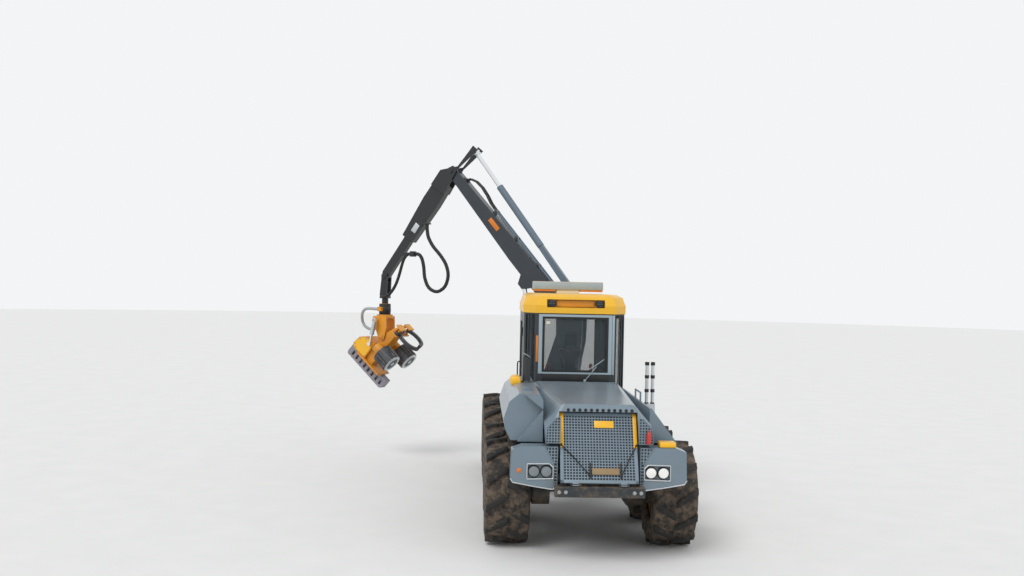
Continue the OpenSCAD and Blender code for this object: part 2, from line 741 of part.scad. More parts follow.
module lift_barrel() {
    color("#33383c") crane_frame() along_crane(lift_low_pin, lift_angle) difference() {
        union() {
            rotate([90, 0, 0]) cylinder(r = 80, h = lift_r * 2 - 4, center = true);
            rotate([0, 90, 0]) cylinder(r = lift_r, h = 950);
        }
        rotate([90, 0, 0]) cylinder(r = pin_r + seat_gap, h = 400, center = true);
        translate([120, 0, 0]) rotate([0, 90, 0]) cylinder(r = 45 + 0.05, h = 900);
    }
}

module lift_rod() {
    color("#d8dadc") crane_frame() along_crane(lift_low_pin, lift_angle) {
        translate([760, 0, 0]) rotate([0, 90, 0]) cylinder(r = 45, h = lift_len - 760);
        translate([lift_len, 0, 0]) rotate([90, 0, 0]) cylinder(r = 60, h = lift_eye_w, center = true);
    }
}

// Main boom: drawn along +X from its foot pin
module main_boom() {
    color("#2f363b") crane_frame() along_crane(boom_pin, boom_angle) difference() {
        union() {
            crane_plate(boom_w) polygon([[-90, -70], [0, -110], [500, -145], [900, -160], [1500, -160],
                [boom_len - 250, -95], [boom_len + 60, -85], [boom_len + 90, 0], [boom_len + 60, 85],
                [boom_len - 250, 100], [1500, 150], [700, 165], [120, 100], [0, 95], [-70, 70]]);
            for (s = [-1, 1]) crane_plate(cheek_t, s * (lift_eye_w / 2 + cheek_t / 2 + 1))
                polygon([[840, -150], [1160, -150], [1060, -310], [940, -310]]);
        }
        rotate([90, 0, 0]) cylinder(r = pin_r + seat_gap, h = 400, center = true);
        translate([boom_len, 0, 0]) rotate([90, 0, 0]) cylinder(r = pin_r + seat_gap, h = 400, center = true);
        translate([boom_len, 0, 0]) cube([260, jib_w * 0.5, 400], center = true);
    }
    color("#2f363b") crane_frame() along_crane(boom_pin, boom_angle) boom_pipes();
}

// Two steel pipes along the boom's back in four clamps
module boom_pipes() {
    pipe_z = 192;
    for (s = [-1, 1]) translate([380, s * 48, pipe_z]) rotate([0, 90, 0]) cylinder(r = 17, h = 2050);
    for (x = [450, 1080, 1710, 2340]) box_between([x - 22, -76, 90], [x + 22, 76, pipe_z + 14]);
}

// Jib cylinder: a link bar with the barrel in line with it
module link_barrel() {
    bar_end = 1300;
    barrel_end = 2580;
    color("#33383c") crane_frame() along_crane(link_pin, link_angle) difference() {
        union() {
            rotate([90, 0, 0]) cylinder(r = 75, h = boom_w - 2, center = true);
            crane_plate(90) polygon([[0, -60], [bar_end, -45], [bar_end, 45], [0, 60]]);
            translate([bar_end - 60, 0, 0]) rotate([0, 90, 0]) cylinder(r = jib_cyl_r, h = barrel_end - bar_end + 60);
        }
        rotate([90, 0, 0]) cylinder(r = pin_r + seat_gap, h = 400, center = true);
        translate([1500, 0, 0]) rotate([0, 90, 0]) cylinder(r = 38 + 0.05, h = 1200);
    }
}

module jib_rod() {
    color("#d8dadc") crane_frame() along_crane(link_pin, link_angle) {
        translate([2150, 0, 0]) rotate([0, 90, 0]) cylinder(r = 38, h = link_len - 2150);
        translate([link_len, 0, 0]) rotate([90, 0, 0]) cylinder(r = 58, h = boom_w - 2, center = true);
    }
}

jib_end = 1520;
jib_wall = 20;
// The extension's section in the jib's own frame: lowest and highest, and its half width
ext_low = -55;
ext_high = 105;
ext_half = jib_w / 2 - jib_wall - run_gap;

// Jib: hollow box with a horn for the cylinder, drawn along +X from the elbow pin
module jib() {
    horn = [(horn_pin - elbow_pin) * [cos(jib_angle), sin(jib_angle)], (horn_pin - elbow_pin) * [-sin(jib_angle), cos(jib_angle)]];
    color("#24292d") crane_frame() along_crane(elbow_pin, jib_angle) difference() {
        union() {
            for (s = [-1, 1]) crane_plate(cheek_t, s * (boom_w / 2 + cheek_t / 2 + 1))
                polygon([[horn[0] - 80, horn[1] + 60], [horn[0] - 70, horn[1] - 60], [-110, -90], [120, -110],
                    [330, -120], [420, -124], [420, 192], [330, 192], [100, 190], [-150, horn[1] * 0.4],
                    [horn[0] + 80, horn[1] + 70]]);
            translate([230, 0, 0]) crane_plate(boom_w + 2 * cheek_t + 2) polygon([[0, -60], [60, -115], [110, -118], [110, 180], [0, 180]]);
            crane_plate(jib_w) polygon([[230, -60], [290, -118], [700, -130], [jib_end, -95], [jib_end, 150], [700, 200], [230, 190]]);
        }
        crane_plate(2 * (ext_half + run_gap)) polygon([[400, ext_low - run_gap], [jib_end + 10, ext_low - run_gap],
            [jib_end + 10, ext_high + run_gap], [400, ext_high + run_gap]]);
        rotate([90, 0, 0]) cylinder(r = pin_r + seat_gap, h = 600, center = true);
    }
    color("#24292d") crane_frame() {
        along_crane(elbow_pin, jib_angle) wear_pads();
        loop_bracket();
        crane_pin(elbow_pin, pin_r, boom_w + 2 * cheek_t + 40);
        for (s = [-1, 1]) translate([0, s * (boom_w / 2 + cheek_t + 6), 0]) crane_pin(horn_pin, pin_r, 20);
    }
}

// Pads in the jib's mouth that the extension slides on
module wear_pads() {
    pad = run_gap - seat_gap;
    for (s = [-1, 1]) crane_plate(pad + 1, s * (ext_half + seat_gap + (pad + 1) / 2))
        polygon([[jib_end - 90, ext_low + 20], [jib_end - 10, ext_low + 20], [jib_end - 10, ext_high - 20], [jib_end - 90, ext_high - 20]]);
    for (z = [ext_low - run_gap - 1, ext_high + seat_gap]) crane_plate(2 * ext_half - 20)
        polygon([[jib_end - 90, z], [jib_end - 10, z], [jib_end - 10, z + pad + 1], [jib_end - 90, z + pad + 1]]);
}

// Plate on the jib's side that the loop hose hangs from
module loop_bracket() {
    top = loop_route[0];
    translate([0, 60, 0]) box_between([top[0] - 50, 0, top[1] + seat_gap], [top[0] + 130, 100, top[1] + 30]);
}

// Telescopic extension inside the jib, with the block that clamps the hoses at its end
module extension() {
    color("#33383c") crane_frame() {
        along_crane(elbow_pin, jib_angle) difference() {
            crane_plate(2 * ext_half) polygon([[700, ext_low], [jib_len - 60, ext_low], [jib_len + 60, -45],
                [jib_len + 70, 45], [jib_len - 60, ext_high], [700, ext_high]]);
            translate([jib_len, 0, 0]) rotate([90, 0, 0]) cylinder(r = pin_r + seat_gap, h = 400, center = true);
        }
        crest_block();
    }
}

crest_x = [2880, 2960];
crest_z = [3835, 3935];

module crest_block() {
    box_between([crest_x[0], 70, crest_z[0]], [crest_x[1], 180, crest_z[1]]);
    box_between([crest_x[1] - 10, 40, crest_z[0] + 20], [3190, 80, crest_z[1] - 20]);
    box_between([3150, 0, crest_z[0] + 20], [3200, 80, crest_z[1] - 20]);
}

module tip_link() {
    inner = 2 * ext_half;
    color("#2f363b") crane_frame() {
        cheeks(inner) polygon([[tip_pin[0] - 60, tip_pin[1] - 40], [tip_pin[0] - 60, tip_pin[1] + 50], [tip_pin[0] + 60, tip_pin[1] + 50],
            [tip_pin[0] + 60, tip_pin[1] - 40], [head_pin[0] + 70, head_pin[1] + 160], [head_pin[0] - 70, head_pin[1] + 160]]);
        crane_pin(tip_pin, pin_r, inner + 2 * cheek_t + 30);
        crane_plate(inner + 2 * cheek_t + 2) polygon([[head_pin[0] - 70, head_pin[1] + 100], [head_pin[0] + 70, head_pin[1] + 100],
            [head_pin[0] + 60, head_pin[1] + 200], [head_pin[0] - 60, head_pin[1] + 200]]);
        translate([head_pin[0], 0, head_pin[1]]) cylinder(r = 60, h = 110);
    }
}

// Head: points in the crane's plane, and its own frame with local X down the stem line
head_mid = [3600, 2000];
tilt_pin = [3533, 2343];
tilt_top_pin = [3620, 2640];
tilt_low_pin = [3720, 2200];
tilt_angle = atan2(tilt_low_pin[1] - tilt_top_pin[1], tilt_low_pin[0] - tilt_top_pin[0]);
tilt_len = norm(tilt_low_pin - tilt_top_pin);
tilt_off = 265;
tilt_eye_half = 48;
spine_w = 260;
yoke_in = spine_w + 2 * run_gap;
stem_z = -250;
roller_x = -160;
roller_y = 330;
knife_hinge = [190, -40];
knife_t = 60;
knife_x = -560;

// Rotator with the yoke that carries the head
module rotator() {
    color("#c98a14") crane_frame() {
        translate([head_pin[0], 0, head_pin[1] - 230]) cylinder(r = 105, h = 230 - seat_gap);
        translate([head_pin[0], 0, head_pin[1] - 265]) cylinder(r = 150, h = 60);
        cheeks(yoke_in) polygon([[3440, 2715], [3720, 2715], [3690, 2560], [3600, 2330], [3540, 2270], [3480, 2290], [3430, 2500]]);
        crane_plate(yoke_in + 2 * cheek_t + 2) polygon([[3440, 2670], [3720, 2670], [3720, 2715], [3440, 2715]]);
        crane_pin(tilt_pin, pin_r, yoke_in + 2 * cheek_t + 30);
        translate([tilt_top_pin[0], 0, tilt_top_pin[1]]) rotate([-90, 0, 0])
            translate([0, 0, yoke_in / 2]) cylinder(r = 20, h = tilt_off + 45 - yoke_in / 2);
        box_between([3540, 60, 2810], [3620, 185, 2890]);
        box_between([3640, -268, 2455], [3720, -yoke_in / 2 - 20, 2525]);
    }
}

module tilt_barrel() {
    color("#b9bec2") crane_frame() translate([0, tilt_off, 0]) along_crane(tilt_top_pin, tilt_angle) difference() {
        union() {
            rotate([0, 90, 0]) cylinder(r = 42, h = 270);
            rotate([90, 0, 0]) cylinder(r = 44, h = 76, center = true);
        }
        rotate([90, 0, 0]) cylinder(r = 20 + seat_gap, h = 200, center = true);
        translate([70, 0, 0]) rotate([0, 90, 0]) cylinder(r = 22 + 0.05, h = 300);
    }
}

module tilt_rod() {
    color("#d8dadc") crane_frame() translate([0, tilt_off, 0]) along_crane(tilt_top_pin, tilt_angle) {
        translate([190, 0, 0]) rotate([0, 90, 0]) cylinder(r = 22, h = tilt_len - 190);
        translate([tilt_len, 0, 0]) rotate([90, 0, 0]) cylinder(r = 36, h = 2 * tilt_eye_half, center = true);
    }
}

module head_local() {
    crane_frame() translate([head_mid[0], 0, head_mid[1]]) rotate([0, head_lean, 0]) children();
}

// Spine, cover, saw bulkhead, roller arms and knife brackets of the head
module head_frame() {
    color("#e0a818") head_local() {
        difference() {
            crane_plate(spine_w) polygon([[-585, -20], [250, -20], [250, 150], [-180, 170], [-250, 260], [-380, 260], [-420, 150], [-585, 100]]);
            pin_here() cylinder(r = pin_r + seat_gap, h = 600, center = true);
        }
        crane_plate(380) polygon([[-110, 172], [250, 152], [250, 460], [200, 520], [20, 500], [-90, 380]]);
        crane_plate(head_w) polygon([[245, -280], [275, -280], [275, 340], [245, 340]]);
        for (s = [-1, 1]) {
            translate([roller_x, s * roller_y, -60]) cylinder(r = 90, h = 130);
            box_between([roller_x - 60, min(s * 100, s * roller_y), 0], [roller_x + 60, max(s * 100, s * roller_y), 60]);
            translate([roller_x, s * roller_y, stem_z + 95]) cylinder(r = 40, h = -stem_z - 95 - 40);
        }
        tilt_ear();
        for (s = [-1, 1]) knife_bracket(s);
    }
}

// Puts a cylinder's axis on the tilt pin inside the head's frame
module pin_here() {
    rotate([0, -head_lean, 0]) translate([tilt_pin[0] - head_mid[0], 0, tilt_pin[1] - head_mid[1]]) rotate([90, 0, 0]) children();
}

// Flat ear beside the open end of the tilt cylinder
module tilt_ear() {
    eye = [tilt_low_pin[0] - head_mid[0], tilt_low_pin[1] - head_mid[1]];
    c = [eye[0] * cos(head_lean) - eye[1] * sin(head_lean), eye[0] * sin(head_lean) + eye[1] * cos(head_lean)];
    translate([0, tilt_off - tilt_eye_half - seat_gap - 12, 0]) crane_plate(24)
        polygon([[c[0] - 60, c[1] - 40], [c[0] + 60, c[1] - 40], [c[0] + 40, c[1] + 50], [c[0] - 40, c[1] + 50]]);
    box_between([c[0] - 60, 100, c[1] - 60], [c[0] + 60, tilt_off - tilt_eye_half - seat_gap, c[1] - 38]);
}

module knife_bracket(s) {
    back = knife_x - 2 * knife_t - 8 - 4 - 23;
    for (x = [knife_x + 4, back])
        box_between([x, min(s * 60, s * 240), -90], [x + 23, max(s * 60, s * 240), 60]);
    box_between([back, min(s * 60, s * 130), 20], [-560, max(s * 60, s * 130), 60]);
    translate([back, s * knife_hinge[0], knife_hinge[1]]) rotate([0, 90, 0]) cylinder(r = 18, h = knife_x + 27 - back);
}

// Grey saw housing across the butt end, its long faces slotted
module saw_box() {
    color("#8a9094") head_local() difference() {
        crane_plate(150) polygon([[275 + seat_gap, -440], [450, -440], [480, -400], [480, 520], [440, 550], [275 + seat_gap, 550]]);
        for (k = [0:7]) box_between([340, -80, -380 + k * 112], [440, 80, -380 + k * 112 + 50]);
    }
}

module feed_roller(side) {
    color("#3a3a3a") head_local() translate([roller_x, side * roller_y, stem_z - 150]) difference() {
        union() {
            cylinder(r = roller_r - 16, h = 310);
            for (k = [0:rib_count - 1]) rotate([0, 0, k * 360 / rib_count])
                box_between([roller_r - 30, -9, 20], [roller_r - 1, 9, 290]);
        }
        translate([0, 0, 240]) cylinder(r = 40 + seat_gap, h = 100);
        translate([0, 0, 270]) cylinder(r = roller_r - 40, h = 100);
    }
}

// Curved knife that wraps the stem; the two lie side by side along the stem line
module knife(side) {
    x = knife_x - (side > 0 ? 0 : knife_t + 8) - knife_t;
    color("#2c2f31") head_local() translate([x, 0, 0]) rotate([90, 0, 90]) linear_extrude(height = knife_t) difference() {
        union() {
            difference() {
                translate([0, stem_z]) circle(r = 245);
                translate([0, stem_z]) circle(r = 195);
                translate([side > 0 ? -300 : 20, -600]) square([280, 800]);
                translate([-300, -40]) square([600, 400]);
            }
            translate([side * knife_hinge[0], knife_hinge[1]]) circle(r = 52);
        }
        translate([side * knife_hinge[0], knife_hinge[1]]) circle(r = 18 + seat_gap);
    }
}

// Hoses swept along their own points in the crane's plane: [reach, height, sideways]
loop_route = [[2640, 4430, 120], [2640, 4405, 120], [2640, 4375, 120], [2632, 4310, 124], [2600, 4190, 135], [2500, 4030, 140], [2350, 3870, 140], [2230, 3700, 140],
    [2180, 3500, 140], [2240, 3300, 140], [2400, 3200, 140], [2570, 3270, 140], [2660, 3450, 135], [2690, 3640, 125],
    [2730, 3790, 120], [2785, 3868, 120], [2835, 3885, 120], [2858, 3885, 120],
    [2879.7, 3885, 120]];
drop_route = [[2960.3, 3885, 125], [2978, 3885, 125], [3000, 3885, 125], [3060, 3850, 130], [3110, 3770, 135], [3150, 3640, 140], [3190, 3490, 145], [3240, 3340, 155],
    [3300, 3220, 170], [3380, 3120, 190], [3480, 3085, 180], [3535, 3085, 150], [3540, 3085, 130], [3540, 3085, 112],
    [3540, 3085, 96]];
head_route = [[3620.3, 2850, 150], [3640, 2850, 150], [3670, 2850, 150], [3760, 2852, 144], [3870, 2850, 108], [3980, 2825, 30], [4090, 2765, -80], [4160, 2680, -180],
    [4175, 2580, -235], [4120, 2490, -248], [4000, 2445, -248], [3860, 2470, -240], [3775, 2490, -236], [3748, 2490, -236], [3720.3, 2490, -236]];
loop_r = 32;
drop_r = 28;
head_hose_r = 28;

function unit(v) = v / norm(v);
function tangent(p, i) = unit(p[min(i + 1, len(p) - 1)] - p[max(i - 1, 0)]);
function ring_side(t) = unit(cross(t, [0.13, 1, 0.07]));

// Tube of radius r with n sides along the points p
module tube(p, r, n) {
    rings = len(p);
    points = [for (i = [0:rings - 1]) let (t = tangent(p, i), a = ring_side(t), b = cross(t, a))
        for (k = [0:n - 1]) p[i] + r * (cos(360 * k / n) * a + sin(360 * k / n) * b)];
    sides = [for (i = [0:rings - 2]) for (k = [0:n - 1])
        [i * n + k, i * n + (k + 1) % n, (i + 1) * n + (k + 1) % n, (i + 1) * n + k]];
    ends = [[for (k = [n - 1:-1:0]) k], [for (k = [0:n - 1]) (rings - 1) * n + k]];
    polyhedron(points = points, faces = concat(sides, ends), convexity = 6);
}

// Points of a smooth curve through a route, four steps for each span
function curve_at(a, b, c, d, t) = 0.5 * ((2 * b) + (c - a) * t + (2 * a - 5 * b + 4 * c - d) * t * t + (3 * b - a - 3 * c + d) * t * t * t);
function smooth(q, steps) = concat([for (i = [0:len(q) - 2]) let (a = q[max(i - 1, 0)], b = q[i], c = q[i + 1], d = q[min(i + 2, len(q) - 1)])
    for (j = [0:steps - 1]) curve_at(a, b, c, d, j / steps)], [q[len(q) - 1]]);
function in_space(q) = [for (v = q) [v[0], v[2], v[1]]];

module loop_hose() { color("#15171a") crane_frame() tube(smooth(in_space(loop_route), 3), loop_r, 8); }
module drop_hose() { color("#15171a") crane_frame() tube(smooth(in_space(drop_route), 3), drop_r, 8); }
module head_hose() { color("#15171a") crane_frame() tube(smooth(in_space(head_route), 3), head_hose_r, 8); }

rear_frame();
rear_axle();
engine_block();
hood();
left_side_body();
right_side_body();
rear_grille();
rear_fenders();
exhaust_pipe();
service_ladder();
tyre(-1, rear_bogie_y, 1);  // tyre_rear_left_1
tyre(-1, rear_bogie_y, 2);  // tyre_rear_left_2
tyre(1, rear_bogie_y, 1);  // tyre_rear_right_1
tyre(1, rear_bogie_y, 2);  // tyre_rear_right_2
tyre(-1, front_bogie_y, 1);  // tyre_front_left_1
tyre(-1, front_bogie_y, 2);  // tyre_front_left_2
tyre(1, front_bogie_y, 1);  // tyre_front_right_1
tyre(1, front_bogie_y, 2);  // tyre_front_right_2
rim(-1, rear_bogie_y, 1);  // rim_rear_left_1
rim(-1, rear_bogie_y, 2);  // rim_rear_left_2
rim(1, rear_bogie_y, 1);  // rim_rear_right_1
rim(1, rear_bogie_y, 2);  // rim_rear_right_2
rim(-1, front_bogie_y, 1);  // rim_front_left_1
rim(-1, front_bogie_y, 2);  // rim_front_left_2
rim(1, front_bogie_y, 1);  // rim_front_right_1
rim(1, front_bogie_y, 2);  // rim_front_right_2
steer_barrel(-1);  // steer_barrel_left
steer_barrel(1);  // steer_barrel_right
steer_rod(-1);  // steer_rod_left
steer_rod(1);  // steer_rod_right
front_frame();
front_axle();
cab_body();
cab_roof();
cab_glass();
cab_door();
door_glass();
operator_seat();
crane_base();
crane_pillar();
lift_barrel();
lift_rod();
main_boom();
link_barrel();
jib_rod();
jib();
extension();
tip_link();
rotator();
tilt_barrel();
tilt_rod();
head_frame();
saw_box();
feed_roller(-1);  // feed_roller_left
feed_roller(1);  // feed_roller_right
knife(-1);  // knife_left
knife(1);  // knife_right
loop_hose();
drop_hose();
head_hose();
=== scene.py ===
# %% [markdown]
# # Dressing a forestry harvester
#
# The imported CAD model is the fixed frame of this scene: eight wheels, a hinged frame, a cab
# and a slewing crane with a felling head. This file gives each surface its finish, swaps a few
# plain solids for finer ones of the same form, and adds the small things a solid leaves out.

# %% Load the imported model
import math
from functools import partial

import bmesh
import bpy
from mathutils import Matrix, Vector


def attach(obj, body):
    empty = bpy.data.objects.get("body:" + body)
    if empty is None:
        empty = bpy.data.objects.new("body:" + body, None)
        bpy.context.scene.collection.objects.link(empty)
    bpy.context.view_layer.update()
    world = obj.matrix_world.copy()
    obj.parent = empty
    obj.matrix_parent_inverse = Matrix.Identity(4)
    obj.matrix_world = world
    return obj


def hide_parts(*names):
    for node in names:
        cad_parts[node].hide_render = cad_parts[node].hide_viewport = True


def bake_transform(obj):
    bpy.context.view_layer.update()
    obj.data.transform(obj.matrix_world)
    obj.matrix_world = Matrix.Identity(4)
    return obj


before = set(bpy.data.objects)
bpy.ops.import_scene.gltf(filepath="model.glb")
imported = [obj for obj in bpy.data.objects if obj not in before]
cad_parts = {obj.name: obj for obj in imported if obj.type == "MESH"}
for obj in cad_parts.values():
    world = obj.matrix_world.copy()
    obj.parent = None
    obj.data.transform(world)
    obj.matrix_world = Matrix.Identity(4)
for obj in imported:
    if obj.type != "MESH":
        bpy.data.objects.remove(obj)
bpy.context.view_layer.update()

# %% [markdown]
# ## Working frames
#
# A maker measures from a datum that suits the piece. The machine's is its middle line at floor
# level. The crane is slewed to one side, so its frame has X along its reach, Y across it and Z
# up, and the boom, jib and head each get one that lies along them. Each frame is a matrix that
# takes millimetres to the scene's metres.

# %% Machine, crane, boom, jib, head, grille and wheel frames
MM = 0.001
MIDDLE_X, PILLAR_Y = 1.29, 2.05
SLEW = math.radians(65)
BOOM_PIN = Vector((-100, 0, 2780))
ELBOW_PIN = Vector((2180, 0, 5400))
JIB_ANGLE = math.atan2(-1950, 1360)
HEAD_MID, HEAD_LEAN = Vector((3600, 0, 2000)), math.radians(48)
GRILLE_FOOT, GRILLE_RAKE = Vector((0, -4090, 1035)), math.atan2(385, 800)

shift = Matrix.Translation


def about(axis, angle):
    return Matrix.Rotation(angle, 4, axis)


MACHINE = shift((MIDDLE_X, 0, 0)) @ Matrix.Scale(MM, 4)
CRANE = shift((MIDDLE_X, PILLAR_Y, 0)) @ about("Z", SLEW + math.pi / 2) @ Matrix.Scale(MM, 4)


def lying_at(parent, origin, angle):
    """A frame inside another one, its X raised by angle from the parent's X."""
    return parent @ shift(origin) @ about("Y", -angle)


boom_span = ELBOW_PIN - BOOM_PIN
BOOM = lying_at(CRANE, BOOM_PIN, math.atan2(boom_span.z, boom_span.x))
JIB = lying_at(CRANE, ELBOW_PIN, JIB_ANGLE)
HEAD = lying_at(CRANE, HEAD_MID, -HEAD_LEAN)
GRILLE = MACHINE @ shift(GRILLE_FOOT) @ about("X", -GRILLE_RAKE)

WHEEL_X, WHEEL_Z = 1070, 680
WHEEL_Y = {"rear_{}_1": -2700, "rear_{}_2": -1200, "front_{}_1": 1500, "front_{}_2": 3000}
WHEELS = {}
for row_name, wheel_y in WHEEL_Y.items():
    for side_name, side in (("left", -1), ("right", 1)):
        hub = MACHINE @ shift((side * WHEEL_X, wheel_y, WHEEL_Z))
        WHEELS[row_name.format(side_name)] = hub @ about("Y", side * math.pi / 2)
print("boom runs", round(boom_span.length), "mm; wheels", len(WHEELS))

# %% [markdown]
# ## Camera
#
# The photograph looks along the machine from behind its engine, just above the roof's height
# and a little to the left of its middle line. A long, level view keeps the hood square and
# lets the crane reach out to the left.

# %% Camera
CAMERA_PLACE = Vector((-0.24, -17.10, 3.44))
CAMERA_YAW, CAMERA_PITCH, CAMERA_ROLL = (math.radians(a) for a in (-1.9, -0.41, 1.2))
FOCAL_PIXELS, PHOTO_WIDTH = 1095, 1024


def add_object(name, data):
    """Puts a mesh, lamp or camera into the scene."""
    made = bpy.data.objects.new(name, data)
    bpy.context.scene.collection.objects.link(made)
    return made


camera_data = bpy.data.cameras.new("camera")
camera_data.sensor_width = 36
camera_data.lens = FOCAL_PIXELS * camera_data.sensor_width / PHOTO_WIDTH
camera = add_object("camera", camera_data)
aim = about("X", math.pi / 2 + CAMERA_PITCH) @ about("Z", CAMERA_ROLL)
camera.matrix_world = shift(CAMERA_PLACE) @ about("Z", CAMERA_YAW) @ aim
bpy.context.scene.camera = camera
print("lens", round(camera_data.lens, 1), "mm")

# %% [markdown]
# ## Node groups: dust, wear and ribs
#
# A working machine is never one clean colour. Dust settles on what faces up, mud is thrown on
# what is low, and paint rubs off along edges. Each effect is one node group with named
# sockets, built once and used by every finish with its own values. A group gives out only
# colours, masks, heights or normals, and the shader stays in the material.

# %% Helpers for nodes
def colour(code):
    """A web colour as Blender's linear colour with full opacity."""
    parts = [int(code[i:i + 2], 16) / 255 for i in (1, 3, 5)]
    return tuple(p / 12.92 if p <= 0.04045 else ((p + 0.055) / 1.055) ** 2.4 for p in parts) + (1,)


def put(tree, target, value):
    """Links a socket, or writes a plain value."""
    if isinstance(value, bpy.types.NodeSocket):
        tree.links.new(value, target)
    else:
        target.default_value = value


def feed(tree, node, **values):
    """Fills a node: a name with a capital is one of its sockets, any other is a setting."""
    for name, value in values.items():
        if name[0].isupper():
            put(tree, node.inputs[name.replace("_", " ")], value)
        else:
            setattr(node, name, value)
    return node


def add_node(tree, kind, **values):
    return feed(tree, tree.nodes.new("ShaderNode" + kind), **values)


def calc(operation, tree, *values, clamp=False):
    node = add_node(tree, "Math", operation=operation, use_clamp=clamp)
    for target, value in zip(node.inputs, values):
        put(tree, target, value)
    return node.outputs[0]


times, plus, minus = (partial(calc, name) for name in ("MULTIPLY", "ADD", "SUBTRACT"))


def blend_colour(tree, share, one, other):
    node = add_node(tree, "Mix", data_type="RGBA", Factor=share)
    put(tree, node.inputs[6], one)
    put(tree, node.inputs[7], other)
    return node.outputs[2]


def object_place(tree):
    return add_node(tree, "TexCoord").outputs["Object"]


def noise_of(tree, place, scale, detail=4, rough=0.6):
    return add_node(tree, "TexNoise", Vector=place, Scale=scale, Detail=detail,
            Roughness=rough).outputs["Fac"]


def step_up(tree, value, low, high):
    """0 below low, 1 above high, smooth between."""
    return add_node(tree, "MapRange", interpolation_type="SMOOTHSTEP", Value=value,
            From_Min=low, From_Max=high).outputs["Result"]


def parts_of(tree, vector):
    """X, Y and Z of a vector socket."""
    return add_node(tree, "SeparateXYZ", Vector=vector).outputs


def new_group(name, inputs, outputs):
    """A shader node group; each of its sockets is given as kind:name."""
    group = bpy.data.node_groups.new(name, "ShaderNodeTree")
    for in_out, sockets in (("INPUT", inputs), ("OUTPUT", outputs)):
        for kind, label in (socket.split(":") for socket in sockets.split()):
            group.interface.new_socket(name=label, in_out=in_out, socket_type="NodeSocket" + kind)
    print("group", name, "takes", inputs)
    given, out = group.nodes.new("NodeGroupInput"), group.nodes.new("NodeGroupOutput")
    return group, given.outputs, out.inputs


# %% The weathered surface: where dirt lies
weather, given, out = new_group(
    "weathered_surface",
    "Color:Paint Color:Worn Color:Mud Float:Grain Float:Mottle Float:Dust Float:Splash "
    "Float:Roughness Float:Edge", "Color:Color Float:Roughness Float:Height")
BROAD_SCALE, PATCH_SCALE = 1.7, 7.0
LOOKS_UP, SPECKLE, CHIPPING = (0.35, 0.95), (0.56, 0.86), (0.38, 0.62)
SPLASH_START, ON_TOP, LOW_DOWN, DIRT_PULL = 0.35, 0.55, 0.8, 0.28

place = object_place(weather)
broad = noise_of(weather, place, BROAD_SCALE)
patchy = noise_of(weather, place, PATCH_SCALE, 6, 0.65)
fine = noise_of(weather, place, given["Grain"], 3)
normal = add_node(weather, "NewGeometry").outputs["Normal"]
upward = step_up(weather, parts_of(weather, normal)["Z"], *LOOKS_UP)
splash = given["Splash"]
high_up = step_up(weather, parts_of(weather, place)["Z"],
        times(weather, splash, SPLASH_START), splash)
settled = plus(weather, times(weather, upward, ON_TOP),
        times(weather, minus(weather, 1.0, high_up), LOW_DOWN))
speckle = step_up(weather, plus(weather, patchy, times(weather, settled, DIRT_PULL)), *SPECKLE)
dirt = times(weather, speckle, given["Dust"], clamp=True)

# %% The weathered surface: colour, roughness and height
MOTTLE_GAIN, DIRT_ROUGH, GRAIN_ROUGH, DIRT_RISE, GRAIN_RISE = 3.0, 0.85, 0.18, 0.8, 0.25
shade = times(weather, minus(weather, broad, 0.5), given["Mottle"])
tint = add_node(weather, "HueSaturation", Color=given["Paint"],
        Value=plus(weather, times(weather, shade, MOTTLE_GAIN), 1.0))
chips = times(weather, given["Edge"], step_up(weather, patchy, *CHIPPING), clamp=True)
worn = blend_colour(weather, chips, tint.outputs["Color"], given["Worn"])
put(weather, out["Color"], blend_colour(weather, dirt, worn, given["Mud"]))
rough = plus(weather, given["Roughness"], times(weather, minus(weather, fine, 0.5), GRAIN_ROUGH))
put(weather, out["Roughness"], calc("MAXIMUM", weather, rough, times(weather, dirt, DIRT_ROUGH)))
put(weather, out["Height"],
    plus(weather, times(weather, dirt, DIRT_RISE), times(weather, fine, GRAIN_RISE)))
print("weathered_surface has", len(weather.nodes), "nodes")

# %% Rubbed edges, from the difference between a rounded and a true normal
RUB_START, RUB_FULL = 0.02, 0.22
rubbed, given, out = new_group("rubbed_edge", "Float:Radius", "Float:Mask Vector:Normal")
rounding = add_node(rubbed, "Bevel", samples=4, Radius=given["Radius"])
turn = add_node(rubbed, "VectorMath", operation="DOT_PRODUCT")
put(rubbed, turn.inputs[0], rounding.outputs["Normal"])
put(rubbed, turn.inputs[1], add_node(rubbed, "NewGeometry").outputs["Normal"])
put(rubbed, out["Mask"],
    step_up(rubbed, minus(rubbed, 1.0, turn.outputs["Value"]), RUB_START, RUB_FULL))
put(rubbed, out["Normal"], rounding.outputs["Normal"])

# %% Spiral ribs of a hose guard, read from the hose's own UV map
spiral, given, out = new_group("spiral_ribs", "Float:Pitch", "Float:Height")
hose_place = parts_of(spiral, add_node(spiral, "TexCoord").outputs["UV"])
turns = plus(spiral, hose_place["X"], calc("DIVIDE", spiral, hose_place["Y"], given["Pitch"]))
wave = calc("SINE", spiral, times(spiral, turns, math.tau))
put(spiral, out["Height"], step_up(spiral, wave, -0.4, 0.5))

# %% A plain weave for the seat cloth
weave, given, out = new_group("plain_weave", "Float:Threads", "Float:Height")
cloth_place = parts_of(weave, object_place(weave))
pitch = times(weave, given["Threads"], math.tau)
rows = [calc("SINE", weave, times(weave, cloth_place[axis], pitch)) for axis in "XYZ"]
crossing = plus(weave, times(weave, rows[0], rows[1]), rows[2])
put(weave, out["Height"], times(weave, crossing, 0.5))
print("node groups", [g.name for g in bpy.data.node_groups])

